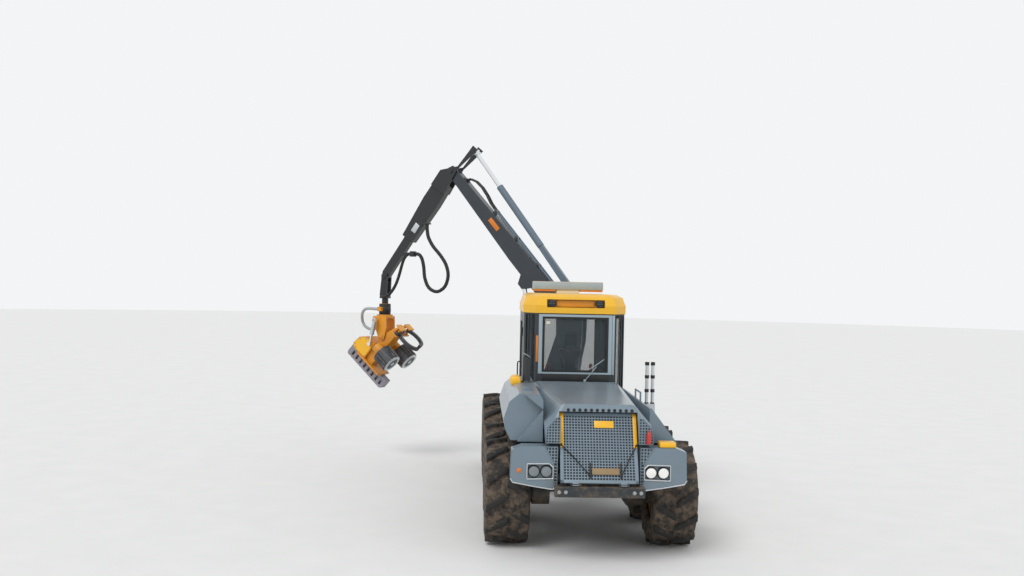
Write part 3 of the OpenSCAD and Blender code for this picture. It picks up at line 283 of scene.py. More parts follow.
# %% [markdown]
# ## Finishes
#
# Painted steel is a satin coat over metal: a Principled shader with a little coat, its colour
# and roughness from the weathered surface, and rubbed edges that show duller paint. Rubber,
# glass and cloth differ enough to set their own shader values.

# %% One function makes every weathered finish
THIN_EDGE, BUMP_REACH = 0.003, 0.004


def new_finish(name):
    """An empty material, its node tree and its shader."""
    finish = bpy.data.materials.new(name)
    finish.use_nodes = True
    return finish, finish.node_tree, finish.node_tree.nodes["Principled BSDF"]


def weathered(name, paint, rough=0.45, metal=0.0, coat=0.0, worn="#5b5f60", mud="#77654e",
        grain=60.0, mottle=0.12, dust=0.35, splash=1.1, bump=0.25, edge=0.010):
    """A finish of paint or metal with dust, mud and rubbed edges."""
    finish, tree, shader = new_finish(name)
    edges = add_node(tree, "Group", node_tree=rubbed, Radius=edge).outputs
    surface = add_node(
        tree, "Group", node_tree=weather, Paint=colour(paint), Worn=colour(worn), Mud=colour(mud),
        Grain=grain, Mottle=mottle, Dust=dust, Splash=splash, Roughness=rough,
        Edge=edges["Mask"]).outputs
    relief = add_node(tree, "Bump", Strength=bump, Distance=BUMP_REACH, Height=surface["Height"],
            Normal=edges["Normal"])
    feed(tree, shader, Metallic=metal, Coat_Weight=coat, Coat_Roughness=0.25,
         Base_Color=surface["Color"], Roughness=surface["Roughness"],
         Normal=relief.outputs["Normal"])
    return finish


def trim(name, paint, rough=0.45, **others):
    """A finish for small parts, which are rubbed along a thin edge only."""
    return weathered(name, paint, rough, edge=THIN_EDGE, **others)


# %% Finishes of the solid model's surfaces
FINISH = {
    "frame_grey": weathered("frame_paint", "#262b2f", 0.6, dust=0.6, splash=1.5, bump=0.5),
    "engine_grey": weathered("engine_paint", "#4c5257", 0.6, dust=0.4),
    "body_blue_grey": weathered("body_paint", "#6c7d89", 0.34, coat=0.5, worn="#55626d",
        dust=0.35, splash=1.5),
    "grille_black": trim("grille_paint", "#748591", 0.42, worn="#4d565e", dust=0.25, splash=1.4),
    "exhaust_steel": weathered("exhaust_steel", "#3d4043", 0.55, 0.5, worn="#b5b7b8",
        dust=0.12, edge=0.006),
    "ladder_aluminium": weathered("bare_aluminium", "#c6cacd", 0.35, 0.9, worn="#e2e4e6",
        dust=0.15),
    "rim_yellow": weathered("wheel_paint", "#c8991c", 0.5, worn="#7d6a40", dust=0.75,
        splash=1.5, bump=0.5),
    "cylinder_dark": weathered("cylinder_paint", "#5a6a78", 0.4, coat=0.2, dust=0.2),
    "rod_chrome": trim("chrome_rod", "#e6e8ea", 0.10, metal=1.0, worn="#e6e8ea",
        mottle=0.03, dust=0.03, bump=0.03),
    "cab_dark": weathered("cab_paint", "#2c3237", 0.42, coat=0.2, worn="#565b5e",
        dust=0.3, splash=1.4),
    "roof_yellow": weathered("roof_paint", "#eab21a", 0.38, coat=0.35, worn="#b3903a",
        dust=0.16, mottle=0.06),
    "crane_dark": weathered("crane_paint", "#232b33", 0.40, coat=0.3, worn="#69727a",
        dust=0.14, mottle=0.18),
    "head_orange": weathered("head_paint", "#d8901f", coat=0.15, worn="#8c7148", mottle=0.2),
    "tilt_silver": weathered("silver_paint", "#c3c7ca", 0.32, 0.7, worn="#e3e5e6", dust=0.15),
    "saw_grey": weathered("saw_box_paint", "#8b8791", 0.5, 0.2, worn="#cfcac8", edge=0.016),
    "tool_steel": weathered("tool_steel", "#4a4b4e", 0.45, 0.7, worn="#9b9a97", dust=0.25,
        bump=0.4)}
print("finishes", len(FINISH))

# %% Finishes of the small parts
YELLOW = trim("trim_yellow", "#efb41c", 0.4, coat=0.3, dust=0.2)
ORANGE = trim("trim_orange", "#d77a1a", dust=0.3)
BLACK = trim("trim_black", "#121415", 0.5, worn="#303234", dust=0.12)
NIGHT = weathered("jib_paint", "#15191c", coat=0.2, worn="#4b5156", dust=0.2, mottle=0.25)
PALE = trim("trim_pale", "#9babb4", 0.4, coat=0.2, worn="#7f8e98", dust=0.12)
CREAM = trim("trim_cream", "#e6dfcb", dust=0.15)
RED = trim("trim_red", "#b3261e", 0.4, coat=0.4, dust=0.12)
ZINC = weathered("zinc_bolts", "#a9acad", 0.4, 0.8, dust=0.3, edge=0.002)
TAN = trim("plate_tan", "#8c7654", 0.6, dust=0.5)
print("finishes with trim", len(bpy.data.materials))

# %% [markdown]
# ## Rubber, hose, cloth, glass and lamps
#
# Tyre rubber holds dried mud in the valleys between its lugs and shows black on their tops, so
# its mud follows an attribute that each tyre's mesh carries. Hoses take their ribs from the
# UV map that runs along them. Glass is a thin dark pane, and a lamp is a clear lens.

# %% Tyre rubber, caked between its lugs
def plain_shader(name, base, rough, **others):
    """A material whose values are set on the shader, with a little mottling in its colour."""
    finish, tree, shader = new_finish(name)
    mottle = times(tree, noise_of(tree, object_place(tree), 9.0), 0.35)
    feed(tree, shader, Roughness=rough, **others,
         Base_Color=blend_colour(tree, mottle, colour(base), (0, 0, 0, 1)))
    return finish, tree, shader


def relief_on(tree, shader, height, strength, distance):
    node = add_node(tree, "Bump", Strength=strength, Distance=distance, Height=height)
    put(tree, shader.inputs["Normal"], node.outputs["Normal"])


RUBBER, LUG_SHED = "#222120", 0.16
rubber, tree, shader = plain_shader("tyre_rubber", RUBBER, 0.8)
tyre_place = object_place(tree)
lug_height = add_node(tree, "Attribute", attribute_name="lug_height").outputs["Fac"]
clods = noise_of(tree, tyre_place, 9.0, 7, 0.7)
caked = step_up(tree, minus(tree, clods, times(tree, lug_height, LUG_SHED)), 0.36, 0.62)
tones = noise_of(tree, tyre_place, 22.0)
mud_tone = blend_colour(tree, tones, colour("#4a3e35"), colour("#7d6c5b"))
feed(tree, shader, Base_Color=blend_colour(tree, caked, colour(RUBBER), mud_tone))
crumbs = times(tree, noise_of(tree, tyre_place, 60.0), 0.5)
relief_on(tree, shader, plus(tree, caked, crumbs), 0.6, 0.008)
FINISH["tyre_black"] = rubber
print("rubber has", len(tree.nodes), "nodes")

# %% Hoses and seat cloth, each with the relief of its own group
def patterned(name, base, rough, group, size, strength, distance, **others):
    """A plain finish whose relief comes from a node group with one value, size."""
    finish, tree, shader = plain_shader(name, base, rough, **others)
    pattern = add_node(tree, "Group", node_tree=group)
    pattern.inputs[0].default_value = size
    relief_on(tree, shader, pattern.outputs["Height"], strength, distance)
    print(name, "has", len(tree.nodes), "nodes")
    return finish


black_hose = patterned("hose_black", "#17181a", 0.5, spiral, 0.03, 0.9, 0.006)
grey_hose = patterned("hose_grey", "#b4b8bb", 0.45, spiral, 0.02, 0.5, 0.003)
cloth = patterned("seat_cloth", "#4b4f55", 0.9, weave, 260.0, 0.5, 0.001, Sheen_Weight=0.4)
FINISH["hose_black"], FINISH["seat_fabric"] = black_hose, cloth

# %% Glass and lamp lenses
FINISH["cab_glass"] = plain_shader("tinted_pane", "#4d5a61", 0.03, Alpha=0.26)[0]
# The rear lamps' lenses are a painted light pair: a white lens with a faint glow is painted
# sunlight for the right lamp, and a grey lens is painted shade for the left.
lit_lens_painted_highlight = plain_shader("lit_lens_painted_highlight", "#f2f2ee", 0.1, Coat_Weight=1.0,
        Emission_Color=(1, 1, 1, 1), Emission_Strength=0.12)[0]
dark_lens, shaded_lens_painted_shade, amber_lens = (
    plain_shader(name, base, rough, Coat_Weight=1.0)[0] for name, base, rough in (
        ("dark_lens", "#1e2326", 0.08), ("shaded_lens_painted_shade", "#7b858b", 0.12),
        ("amber_lens", "#d8741a", 0.15)))
print("materials", len(bpy.data.materials))

# %% Give every solid its finish; the jib and what slides in it are darker than the boom
dressed = 0
for node_name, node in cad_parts.items():
    for material_slot in node.material_slots:
        made = FINISH[material_slot.material.name.split(".")[0]]
        material_slot.material = NIGHT if node_name in ("jib", "extension", "tip_link") else made
        dressed += 1
print("surfaces dressed", dressed)

# %% [markdown]
# ## Tools for shaping
#
# Four shapes make nearly all of the trim: a block with softened edges, a plate pushed from an
# outline, a shape turned about an axis, and a tube carried along a path. Each adds to a mesh
# in millimetres, and one function moves the mesh to its place.

# %% Block, plate and turned shape
def soften(bm, verts, width, steps=2):
    """Bevels every edge that meets the given points."""
    edges = list({edge for vert in verts for edge in vert.link_edges})
    bmesh.ops.bevel(bm, geom=edges, offset=width, segments=steps, profile=0.5, affect="EDGES",
            material=-1, clamp_overlap=True)


def block(bm, low, high, edge=3):
    """A block between two corners, with softened edges."""
    low, high = Vector(low), Vector(high)
    place = shift((low + high) / 2) @ Matrix.Diagonal((*(high - low), 1))
    soften(bm, bmesh.ops.create_cube(bm, size=1, matrix=place)["verts"], edge)


def plate(bm, outline, start, end, across="y", edge=2):
    """A flat outline pushed from start to end across the X, Y or Z axis."""
    index = "xyz".index(across)

    def lifted(a, b, depth):
        point = [a, b]
        point.insert(index, depth)
        return Vector(point)

    verts = [bm.verts.new(lifted(a, b, start)) for a, b in outline]
    pushed = bmesh.ops.extrude_face_region(bm, geom=[bm.faces.new(verts)])["geom"]
    moved = [g for g in pushed if isinstance(g, bmesh.types.BMVert)]
    bmesh.ops.translate(bm, verts=moved, vec=lifted(0, 0, end - start))
    if edge:
        soften(bm, verts + moved, edge, 1)


def turned(bm, profile, centre, axis, steps=24):
    """Spins a profile of (distance along the axis, radius) about an axis through centre."""
    centre, axis = Vector(centre), Vector(axis).normalized()
    out_way = axis.orthogonal().normalized()
    verts = [bm.verts.new(centre + axis * along + out_way * radius) for along, radius in profile]
    edges = [bm.edges.new(pair) for pair in zip(verts, verts[1:])]
    bmesh.ops.spin(bm, geom=verts + edges, cent=centre, axis=axis, dvec=(0, 0, 0),
            angle=math.tau, steps=steps, use_merge=True)


# %% Tube along a path
def rings_along(points):
    """Frames along a path, with Z along it, that turn as little as they can."""
    points = [Vector(p) for p in points]
    last = len(points) - 1
    ways = [(points[min(i + 1, last)] - points[max(i - 1, 0)]).normalized()
            for i in range(last + 1)]
    turn, frames = ways[0].to_track_quat("Z", "Y"), []
    for i, (point, way) in enumerate(zip(points, ways)):
        if i:
            turn = ways[i - 1].rotation_difference(way) @ turn
        frames.append(shift(point) @ turn.to_matrix().to_4x4())
    return frames


def tube(bm, points, radius, sides=12):
    """Extrudes a circle along a path; its UV map has X round it and Y in metres along it."""
    frames = rings_along(points)
    run, turn = (bm.verts.layers.float.get(n) or bm.verts.layers.float.new(n)
            for n in ("run", "turn"))
    wrap = bm.loops.layers.uv.get("UVMap") or bm.loops.layers.uv.new("UVMap")
    ring = bmesh.ops.create_circle(bm, segments=sides, radius=radius, matrix=frames[0])["verts"]
    edges = list({edge for vert in ring for edge in vert.link_edges})
    for i, vert in enumerate(ring):
        vert[turn] = i / sides
    ends, length = [edges], 0.0
    for before, after in zip(frames, frames[1:]):
        made = bmesh.ops.extrude_edge_only(bm, edges=edges)["geom"]
        ring = [g for g in made if isinstance(g, bmesh.types.BMVert)]
        edges = [g for g in made if isinstance(g, bmesh.types.BMEdge)
                and all(v in ring for v in g.verts)]
        length += (after.translation - before.translation).length
        bmesh.ops.transform(bm, matrix=after @ before.inverted(), verts=ring)
        for vert in ring:
            vert[run] = length * MM
    ends.append(edges)
    for face in bm.faces:
        around = [loop.vert[turn] for loop in face.loops]
        over = max(around) - min(around) > 0.5
        for loop, share in zip(face.loops, around):
            loop[wrap].uv = (share + (1 if over and share < 0.5 else 0), loop.vert[run])
    for rim in ends:
        bmesh.ops.contextual_create(bm, geom=rim)


# %% From a mesh to a piece of the machine
REAR, CAB, GATE = "rear_unit", "front_unit", "grille_gate"
PLACE_OF = {
    REAR: MACHINE, CAB: MACHINE, "door": MACHINE, GATE: GRILLE, None: CRANE, "rotator": CRANE,
    "main_boom": BOOM, "jib": JIB, "head": HEAD, "roller_left": HEAD, "roller_right": HEAD}
PLACE_OF.update(("wheel_" + wheel, place) for wheel, place in WHEELS.items())


def piece(name, bm, finish, body, angle=35):
    """Closes a mesh, moves it to its body's frame and lets it ride on that body."""
    bmesh.ops.remove_doubles(bm, verts=bm.verts, dist=0.01)
    bmesh.ops.recalc_face_normals(bm, faces=bm.faces)
    bmesh.ops.transform(bm, matrix=PLACE_OF[body], verts=bm.verts)
    mesh = bpy.data.meshes.new(name)
    bm.to_mesh(mesh)
    bm.free()
    mesh.materials.append(finish)
    mesh.polygons.foreach_set("use_smooth", [True] * len(mesh.polygons))
    mesh.set_sharp_from_angle(angle=math.radians(angle))
    made = add_object(name, mesh)
    if body:
        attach(made, body)
    print(name, len(mesh.polygons), "faces")
    return made


def one_block(name, low, high, finish, body, edge=3):
    """A piece that is a single block."""
    bm = bmesh.new()
    block(bm, low, high, edge)
    return piece(name, bm, finish, body)


# %% [markdown]
# ## Hoses
#
# A crane's oil hoses hang in loops that open and close as the joints move. Each route is the
# solid model's: straight out of a fitting, down under its own weight and up to the next one.
# A hose is a mesh tube that runs between the two bodies that it joins: the loop between the jib and
# its sliding extension, and the drop between the extension and the link at its tip. The short head
# hose stays on the rotator.

# %% Hose routes: along the reach, up, and across, in millimetres
LOOP_ROUTE = [
    (2640, 4430, 120), (2640, 4405, 120), (2640, 4375, 120), (2632, 4310, 124),
    (2600, 4190, 135), (2500, 4030, 140), (2350, 3870, 140), (2230, 3700, 140),
    (2180, 3500, 140), (2240, 3300, 140), (2400, 3200, 140), (2570, 3270, 140),
    (2660, 3450, 135), (2690, 3640, 125), (2730, 3790, 120), (2785, 3868, 120),
    (2835, 3885, 120), (2858, 3885, 120), (2879.7, 3885, 120)]
DROP_ROUTE = [
    (2960.3, 3885, 125), (2978, 3885, 125), (3000, 3885, 125), (3060, 3850, 130),
    (3110, 3770, 135), (3150, 3640, 140), (3190, 3490, 145), (3240, 3340, 155),
    (3300, 3220, 170), (3380, 3120, 190), (3480, 3085, 180), (3535, 3085, 150),
    (3540, 3085, 130), (3540, 3085, 112), (3540, 3085, 96)]
HEAD_ROUTE = [
    (3620.3, 2850, 150), (3640, 2850, 150), (3670, 2850, 150), (3760, 2852, 144),
    (3870, 2850, 108), (3980, 2825, 30), (4090, 2765, -80), (4160, 2680, -180),
    (4175, 2580, -235), (4120, 2490, -248), (4000, 2445, -248), (3860, 2470, -240),
    (3775, 2490, -236), (3748, 2490, -236), (3720.3, 2490, -236)]
SPAN_STEPS = 3


def smooth_path(route):
    """A smooth curve through the points of a route, with a few steps to each span."""
    points = [Vector((along, across, up)) for along, up, across in route]
    last, path = len(points) - 1, [points[0]]
    for i in range(last):
        a, b, c, d = (points[min(max(k, 0), last)] for k in range(i - 1, i + 3))
        for t in ((step + 1) / SPAN_STEPS for step in range(SPAN_STEPS)):
            path.append(0.5 * (2 * b + (c - a) * t + (2 * a - 5 * b + 4 * c - d) * t ** 2
                    + (3 * b - a - 3 * c + d) * t ** 3))
    return path


def hose(name, route, radius, finish, node, body=None):
    """A hose that replaces its CAD solid."""
    path = smooth_path(route)
    bm = bmesh.new()
    tube(bm, path, radius, 16)
    made = piece(name, bm, finish, body, 60)
    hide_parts(node)
    return made


# %% Three hoses, the longer two running between two bodies
loop = hose("jib_loop_hose", LOOP_ROUTE, 32, black_hose, "loop_hose")
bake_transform(loop)
drop = hose("tip_drop_hose", DROP_ROUTE, 28, black_hose, "drop_hose")
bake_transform(drop)
hose("head_loop_hose", HEAD_ROUTE, 28, grey_hose, "head_hose", "rotator")

# %% [markdown]
# ## Tyres
#
# A forestry tyre has tall bars that lean across each half of the tread and meet in a chevron.
# The carcass is a profile spun about the axle. A lug is a cube with a few cuts along it,
# wrapped onto the tread and twisted as it goes out. The mesh remembers how high each point
# stands on a lug, which tells the rubber where mud stays.

# %% One lug of the tread
TYRE_RADIUS, LUG_HEIGHT, LUG_WIDTH, TREAD_REACH = 680, 48, 84, 276
LUGS_A_SIDE, LUG_TWIST = 12, math.radians(15)
LUG_SUNK, LUG_CUTS, SHOULDER_DROP = 14, 4, 10
ROOT_FLARE, TOP_TAPER, OUTWARD_FLARE = 1.22, 0.22, 0.12
LUG_ROOT = TYRE_RADIUS - LUG_HEIGHT
HALF_CARCASS = [
    (234, 345), (252, 350), (266, 372), (277, 384), (272, 396), (281, 440), (290, 500),
    (291, 545), (286, 580), (274, 606), (250, 624), (200, 631), (0, 633)]

tyre = bmesh.new()
lug_mark = tyre.verts.layers.float.new("lug_height")
wrapped = tyre.verts.layers.float.new("wrapped")


def wrapped_lug(bm, angle, half):
    """One bar of the tread, from the middle line to one shoulder."""
    size = Matrix.Diagonal((LUG_WIDTH, LUG_HEIGHT + LUG_SUNK, TREAD_REACH, 1))
    soften(bm, bmesh.ops.create_cube(bm, size=1, matrix=size)["verts"], 6, 1)
    cuts = [e for e in bm.edges if not e.verts[0][wrapped]
            and abs(e.verts[0].co.z - e.verts[1].co.z) > TREAD_REACH * 0.8]
    bmesh.ops.subdivide_edges(bm, edges=cuts, cuts=LUG_CUTS, use_grid_fill=True)
    for vert in [v for v in bm.verts if not v[wrapped]]:
        up = vert.co.y + (LUG_HEIGHT - LUG_SUNK) / 2
        out_share = vert.co.z / TREAD_REACH + 0.5
        flare = ROOT_FLARE - TOP_TAPER * max(up, 0) / LUG_HEIGHT + OUTWARD_FLARE * out_share
        radius = LUG_ROOT + up - SHOULDER_DROP * out_share ** 3
        turn = angle - LUG_TWIST * out_share - vert.co.x * flare / radius
        vert.co = (radius * math.cos(turn), radius * math.sin(turn), half * out_share * TREAD_REACH)
        vert[lug_mark] = max(up, 0) / LUG_HEIGHT
        vert[wrapped] = 1


# %% One tyre, then eight
mirrored_half = [(-z, r) for z, r in HALF_CARCASS[-2::-1]]
turned(tyre, HALF_CARCASS + mirrored_half, (0, 0, 0), (0, 0, 1), 72)
for vert in tyre.verts:
    vert[wrapped] = 1
first_turn = math.asin(LUG_WIDTH / 2 / TYRE_RADIUS)
for k in range(LUGS_A_SIDE):
    step = math.tau / LUGS_A_SIDE
    wrapped_lug(tyre, first_turn + k * step, 1)
    wrapped_lug(tyre, first_turn + (k + 0.5) * step, -1)
for wheel in WHEELS:
    made = piece("lugged_tyre_" + wheel, tyre.copy(), rubber, "wheel_" + wheel, 50)
    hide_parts("tyre_" + wheel)
tyre.free()

# %% [markdown]
# ## Wheel nuts
#
# Each wheel is held by a ring of nuts round its hub. A nut is a short six-sided cone with a
# washer under it; one ring is made in the wheel's frame and repeated on all eight.

# %% Wheel nuts and hub caps
NUT_CIRCLE, NUT_COUNT = 140, 12
NUT_PARTS = ((21, 156, 166, 12), (15, 164, 184, 6))
HUB_CAP = [(170, 0), (196, 0), (196, 48), (186, 60), (170, 62)]


def cone_stack(bm, place, parts, taper):
    """Short cones along Z, each a radius, a low and a high end, and its sides."""
    for radius, low, high, sides in parts:
        middle = shift((0, 0, (low + high) / 2))
        bmesh.ops.create_cone(bm, cap_ends=True, segments=sides, radius1=radius,
                radius2=radius * taper, depth=high - low, matrix=place @ middle)


nuts = bmesh.new()
for k in range(NUT_COUNT):
    turn = about("Z", k * math.tau / NUT_COUNT)
    cone_stack(nuts, turn @ shift((NUT_CIRCLE, 0, 0)), NUT_PARTS, 0.92)
turned(nuts, HUB_CAP, (0, 0, 0), (0, 0, 1), 24)
for wheel in WHEELS:
    piece("wheel_nuts_" + wheel, nuts.copy(), ZINC, "wheel_" + wheel)
nuts.free()

# %% [markdown]
# ## Rear grille
#
# The engine breathes through a raked sheet full of small holes in a folded edge, and the solid
# keeps only coarse holes. Here a grid of faces is inset one by one, the middles are taken out
# and the web that is left is given its thickness, so that real light comes through.

# %% A perforated sheet
WEB, SHEET_THICK = 13, 5


def merge_in(bm, part):
    """Adds a finished mesh to another one and frees it."""
    scratch = bpy.data.meshes.new("scratch")
    part.to_mesh(scratch)
    part.free()
    bm.from_mesh(scratch)
    bpy.data.meshes.remove(scratch)


def perforated(bm, width, height, across, up, thick, middle):
    """A sheet of square holes, standing up in X and Z about its middle."""
    sheet = bmesh.new()
    bmesh.ops.create_grid(sheet, x_segments=across, y_segments=up, size=0.5,
            matrix=Matrix.Diagonal((width, height, 1, 1)))
    bmesh.ops.inset_individual(sheet, faces=list(sheet.faces), thickness=WEB / 2,
            use_even_offset=True)
    small = 0.6 * (width / across - WEB) * (height / up - WEB)
    holes = [f for f in sheet.faces if f.calc_area() > small]
    bmesh.ops.delete(sheet, geom=holes, context="FACES")
    bmesh.ops.remove_doubles(sheet, verts=sheet.verts, dist=0.05)
    bmesh.ops.recalc_face_normals(sheet, faces=sheet.faces)
    bmesh.ops.solidify(sheet, geom=list(sheet.faces), thickness=thick)
    stand = shift(middle) @ about("X", math.pi / 2)
    bmesh.ops.transform(sheet, matrix=stand, verts=sheet.verts)
    merge_in(bm, sheet)
    print(len(holes), "holes")


# %% The grille, which folds down with its gate, and the dark screen behind it
HALF_WIDTH, LENGTH, DEPTH, RIM = 470, 888, 40, 42
FIELD_X, FIELD_Z = 2 * (HALF_WIDTH - RIM), LENGTH - 2 * RIM
grille = bmesh.new()
perforated(grille, FIELD_X + 8, FIELD_Z + 8, 24, 23, SHEET_THICK, (0, 4, LENGTH / 2))
for x in (-HALF_WIDTH, HALF_WIDTH - RIM):
    block(grille, (x, 0, 0), (x + RIM, DEPTH, LENGTH), 5)
for z in (0, LENGTH - RIM):
    block(grille, (-HALF_WIDTH, 0, z), (HALF_WIDTH, DEPTH, z + RIM), 5)
for x in (-330, 250):
    block(grille, (x, -20, -40), (x + 80, 26, 12), 6)
made = piece("perforated_grille", grille, FINISH["grille_black"], GATE)
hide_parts("rear_grille")
SCREEN_RIBS, HALF_RIB = 12, 3
core = bmesh.new()
block(core, (-FIELD_X / 2 - 3, 24, RIM - 3), (FIELD_X / 2 + 3, 34, LENGTH - RIM + 3), 2)
for k in range(1, SCREEN_RIBS):
    z = k * LENGTH / SCREEN_RIBS
    block(core, (-FIELD_X / 2, 19, z - HALF_RIB), (FIELD_X / 2, 25, z + HALF_RIB), 1)
piece("dust_screen", core, BLACK, GATE)

# %% [markdown]
# ## Perforated corners beside the grille
#
# The same sheet goes on round the grille: a panel on each side of the hood's end and a strip
# down to each lamp. Each is cut to its outline with planes, and lies on a black backing that is
# painted shade, so the holes read as open.

# %% Corner panels, cut to shape
CORNER_Y, CORNER_PITCH = -3962, 36
CORNER_PANELS = ([(478, 1492), (650, 1492), (636, 1680), (520, 1800), (478, 1800)],
        [(503, 1440), (650, 1440), (548, 1252), (503, 1252)],
        [(503, 1250), (547, 1250), (547, 1012), (503, 985)])


def sides_of(outline):
    return zip(outline, outline[1:] + outline[:1])


def trimmed(bm, outline):
    """Cuts away what lies outside a convex outline in X and Z."""
    middle = Vector((sum(p[0] for p in outline), 0, sum(p[1] for p in outline))) / len(outline)
    for (a, b), (c, d) in sides_of(outline):
        outward = Vector((d - b, 0, a - c))
        if outward.dot(middle - Vector((a, 0, b))) > 0:
            outward.negate()
        bmesh.ops.bisect_plane(bm, geom=bm.verts[:] + bm.edges[:] + bm.faces[:],
                plane_co=(a, 0, b), plane_no=outward, clear_outer=True)


panel_sheets, panel_shade_backs = bmesh.new(), bmesh.new()
for half_outline in CORNER_PANELS:
    for side in (-1, 1):
        outline = [(side * x, z) for x, z in half_outline]
        xs, zs = zip(*outline)
        width, height = max(xs) - min(xs), max(zs) - min(zs)
        sheet = bmesh.new()
        perforated(sheet, width, height, round(width / CORNER_PITCH),
                round(height / CORNER_PITCH), SHEET_THICK - 1,
                ((max(xs) + min(xs)) / 2, CORNER_Y - 4, (max(zs) + min(zs)) / 2))
        trimmed(sheet, outline)
        merge_in(panel_sheets, sheet)
        # A black backing behind the panel: painted shade seen through its holes.
        plate(panel_shade_backs, outline, CORNER_Y - 1, CORNER_Y + 6, "y", 0)
        for (a, b), (c, d) in sides_of(outline):
            tube(panel_sheets, [(a, CORNER_Y - 3, b), (c, CORNER_Y - 3, d)], 5, 6)
piece("corner_mesh_panels", panel_sheets, FINISH["grille_black"], REAR)
piece("corner_panel_shade_backs", panel_shade_backs, BLACK, REAR)

# %% [markdown]
# ## Trim on the grille and the rear corners
#
# A blank yellow label sits high on the grille and a blank brown plate low on it, between two
# brackets. Yellow strips mark both edges. Two thin black stays steady the gate. The corner
# bodies hold a lamp bezel with two lenses each and a bright lip below. A yellow cap, an amber
# marker and a small red bottle with two clamps finish them.

# %% Labels, strips and stays on the grille
one_block("upper_blank_label", (-50, -4, 693), (190, 3, 782), YELLOW, GATE, 2)
one_block("lower_blank_plate", (-90, -12, 105), (240, -5, 185), TAN, GATE, 2)
brackets, strips, stays = (bmesh.new() for _ in range(3))
for x in (-120, 248):
    block(brackets, (x, -14, 60), (x + 22, 3, 250), 3)
block(brackets, (-110, -6, 130), (260, 2, 150), 2)
piece("plate_brackets", brackets, BLACK, GATE)
for x in (-470, 424):
    block(strips, (x, -4, 440), (x + 46, 2, 880), 2)
piece("edge_strips", strips, YELLOW, GATE)
for foot, top in ((-115, -455), (262, 455)):
    tube(stays, [(foot, -14, 90), ((foot + top) / 2, -16, 290), (top, -12, 470)], 7, 8)
    turned(stays, [(-26, 0), (-26, 14), (2, 14), (2, 0)], (top, 0, 470), (0, 1, 0), 12)
piece("gate_stays", stays, BLACK, GATE)

# %% Lamps on the rear corners
BACKWARD, FORWARD, UPWARD = (0, -1, 0), (0, 1, 0), (0, 0, 1)
LAMP_BEZEL = [(552, 1062), (868, 1052), (868, 1236), (600, 1240), (552, 1200)]
LOWER_LIP = ((505, 957), (560, 932), (800, 968), (1040, 1012), (1068, 1060))
LENS_X, LENS_Z, LENS_RADIUS, LENS_Y = (635, 785), 1145, 62, -3955


def lens(bm, centre, axis, radius, bulge=12):
    profile = [(0, radius), (4, radius), (bulge * 0.7, radius * 0.6), (bulge, 0)]
    turned(bm, profile, centre, axis, 28)


def lamp_ring(bm, centre, axis, radius):
    profile = [(-10, radius), (8, radius), (8, radius + 10), (-10, radius + 14), (-10, radius)]
    turned(bm, profile, centre, axis, 28)


# The right lenses are white with a faint glow as painted sunlight; the left ones are grey as
# painted shade.
for side_name, side, glass in (("left", -1, shaded_lens_painted_shade), ("right", 1, lit_lens_painted_highlight)):
    bezel, rings, glasses = (bmesh.new() for _ in range(3))
    for a, b in sides_of([(side * x, CORNER_Y, z) for x, z in LAMP_BEZEL]):
        tube(bezel, [a, b], 9, 8)
    for x in LENS_X:
        lamp_ring(rings, (side * x, LENS_Y, LENS_Z), BACKWARD, LENS_RADIUS)
        lens(glasses, (side * x, LENS_Y, LENS_Z), BACKWARD, LENS_RADIUS)
    tube(bezel, [(side * x, CORNER_Y, z) for x, z in LOWER_LIP], 8, 8)
    piece(side_name + "_lamp_bezel", bezel, FINISH["ladder_aluminium"], REAR)
    piece(side_name + "_lamp_rings", rings, BLACK, REAR)
    piece(side_name + "_lamp_lenses", glasses, glass, REAR, 60)

# %% Marker, cap and bottle
BOTTLE = [(0, 0), (0, 30), (120, 30), (142, 18), (146, 11), (166, 11), (166, 0)]
marker, bottle = bmesh.new(), bmesh.new()
lens(marker, (-967, -3960, 1155), BACKWARD, 30, 14)
piece("amber_marker", marker, amber_lens, REAR, 60)
one_block("corner_cap", (735, -3945, 1447), (935, -3760, 1515), YELLOW, REAR, 16)
turned(bottle, BOTTLE, (592, -3992, 1500), UPWARD, 20)
for z in (1520, 1590):
    block(bottle, (572, -3990, z), (612, -3958, z + 16), 3)
piece("red_bottle", bottle, RED, REAR)

# %% Bolts on the tow beam, and a row of black discs at the hood's rear lip, painted shade for air holes
def bolt(bm, place, axis, radius=16, tall=14):
    turn = Vector(axis).to_track_quat("Z", "Y").to_matrix().to_4x4()
    washer, head = (radius * 1.5, -1, 5, 16), (radius, 4, 4 + tall, 6)
    cone_stack(bm, shift(place) @ turn, (washer, head), 0.94)


HOLE_COUNT, HOLE_PITCH = 12, 70
HOLE_RIM = [(0, 0), (1.5, 0), (1.5, 15), (4, 16), (4, 20), (0, 21)]
beam_bolts, holes = bmesh.new(), bmesh.new()
for x in (-490, -410, 410, 490):
    bolt(beam_bolts, (x, -4150, 935), BACKWARD)
piece("beam_bolts", beam_bolts, ZINC, REAR)
# Each air hole is a black disc with a rim: painted shade in place of an opening.
for k in range(HOLE_COUNT):
    x = (k - (HOLE_COUNT - 1) / 2) * HOLE_PITCH
    turned(holes, HOLE_RIM, (x, -3960, 1893), BACKWARD, 16)
piece("lip_hole_shade_discs", holes, BLACK, REAR)

# %% [markdown]
# ## Cab outside
#
# The rear window sits in a pale frame with a rounded black seal, over a black panel that
# holds the wiper. The roof carries lamps in a recess, each behind two guard bars, and a pale
# bar with a cream box under it stands on the roof.

# %% Window frames, seals and strips
def ring_plate(bm, outer, inner, start, end, across="y"):
    """A flat ring between two rectangles, pushed across an axis."""
    a0, b0, a1, b1 = outer
    c0, d0, c1, d1 = inner
    for a, b, c, d in ((a0, b0, a1, d0), (a0, d1, a1, b1), (a0, d0, c0, d1), (c1, d0, a1, d1)):
        plate(bm, [(a, b), (c, b), (c, d), (a, d)], start, end, across, 3)


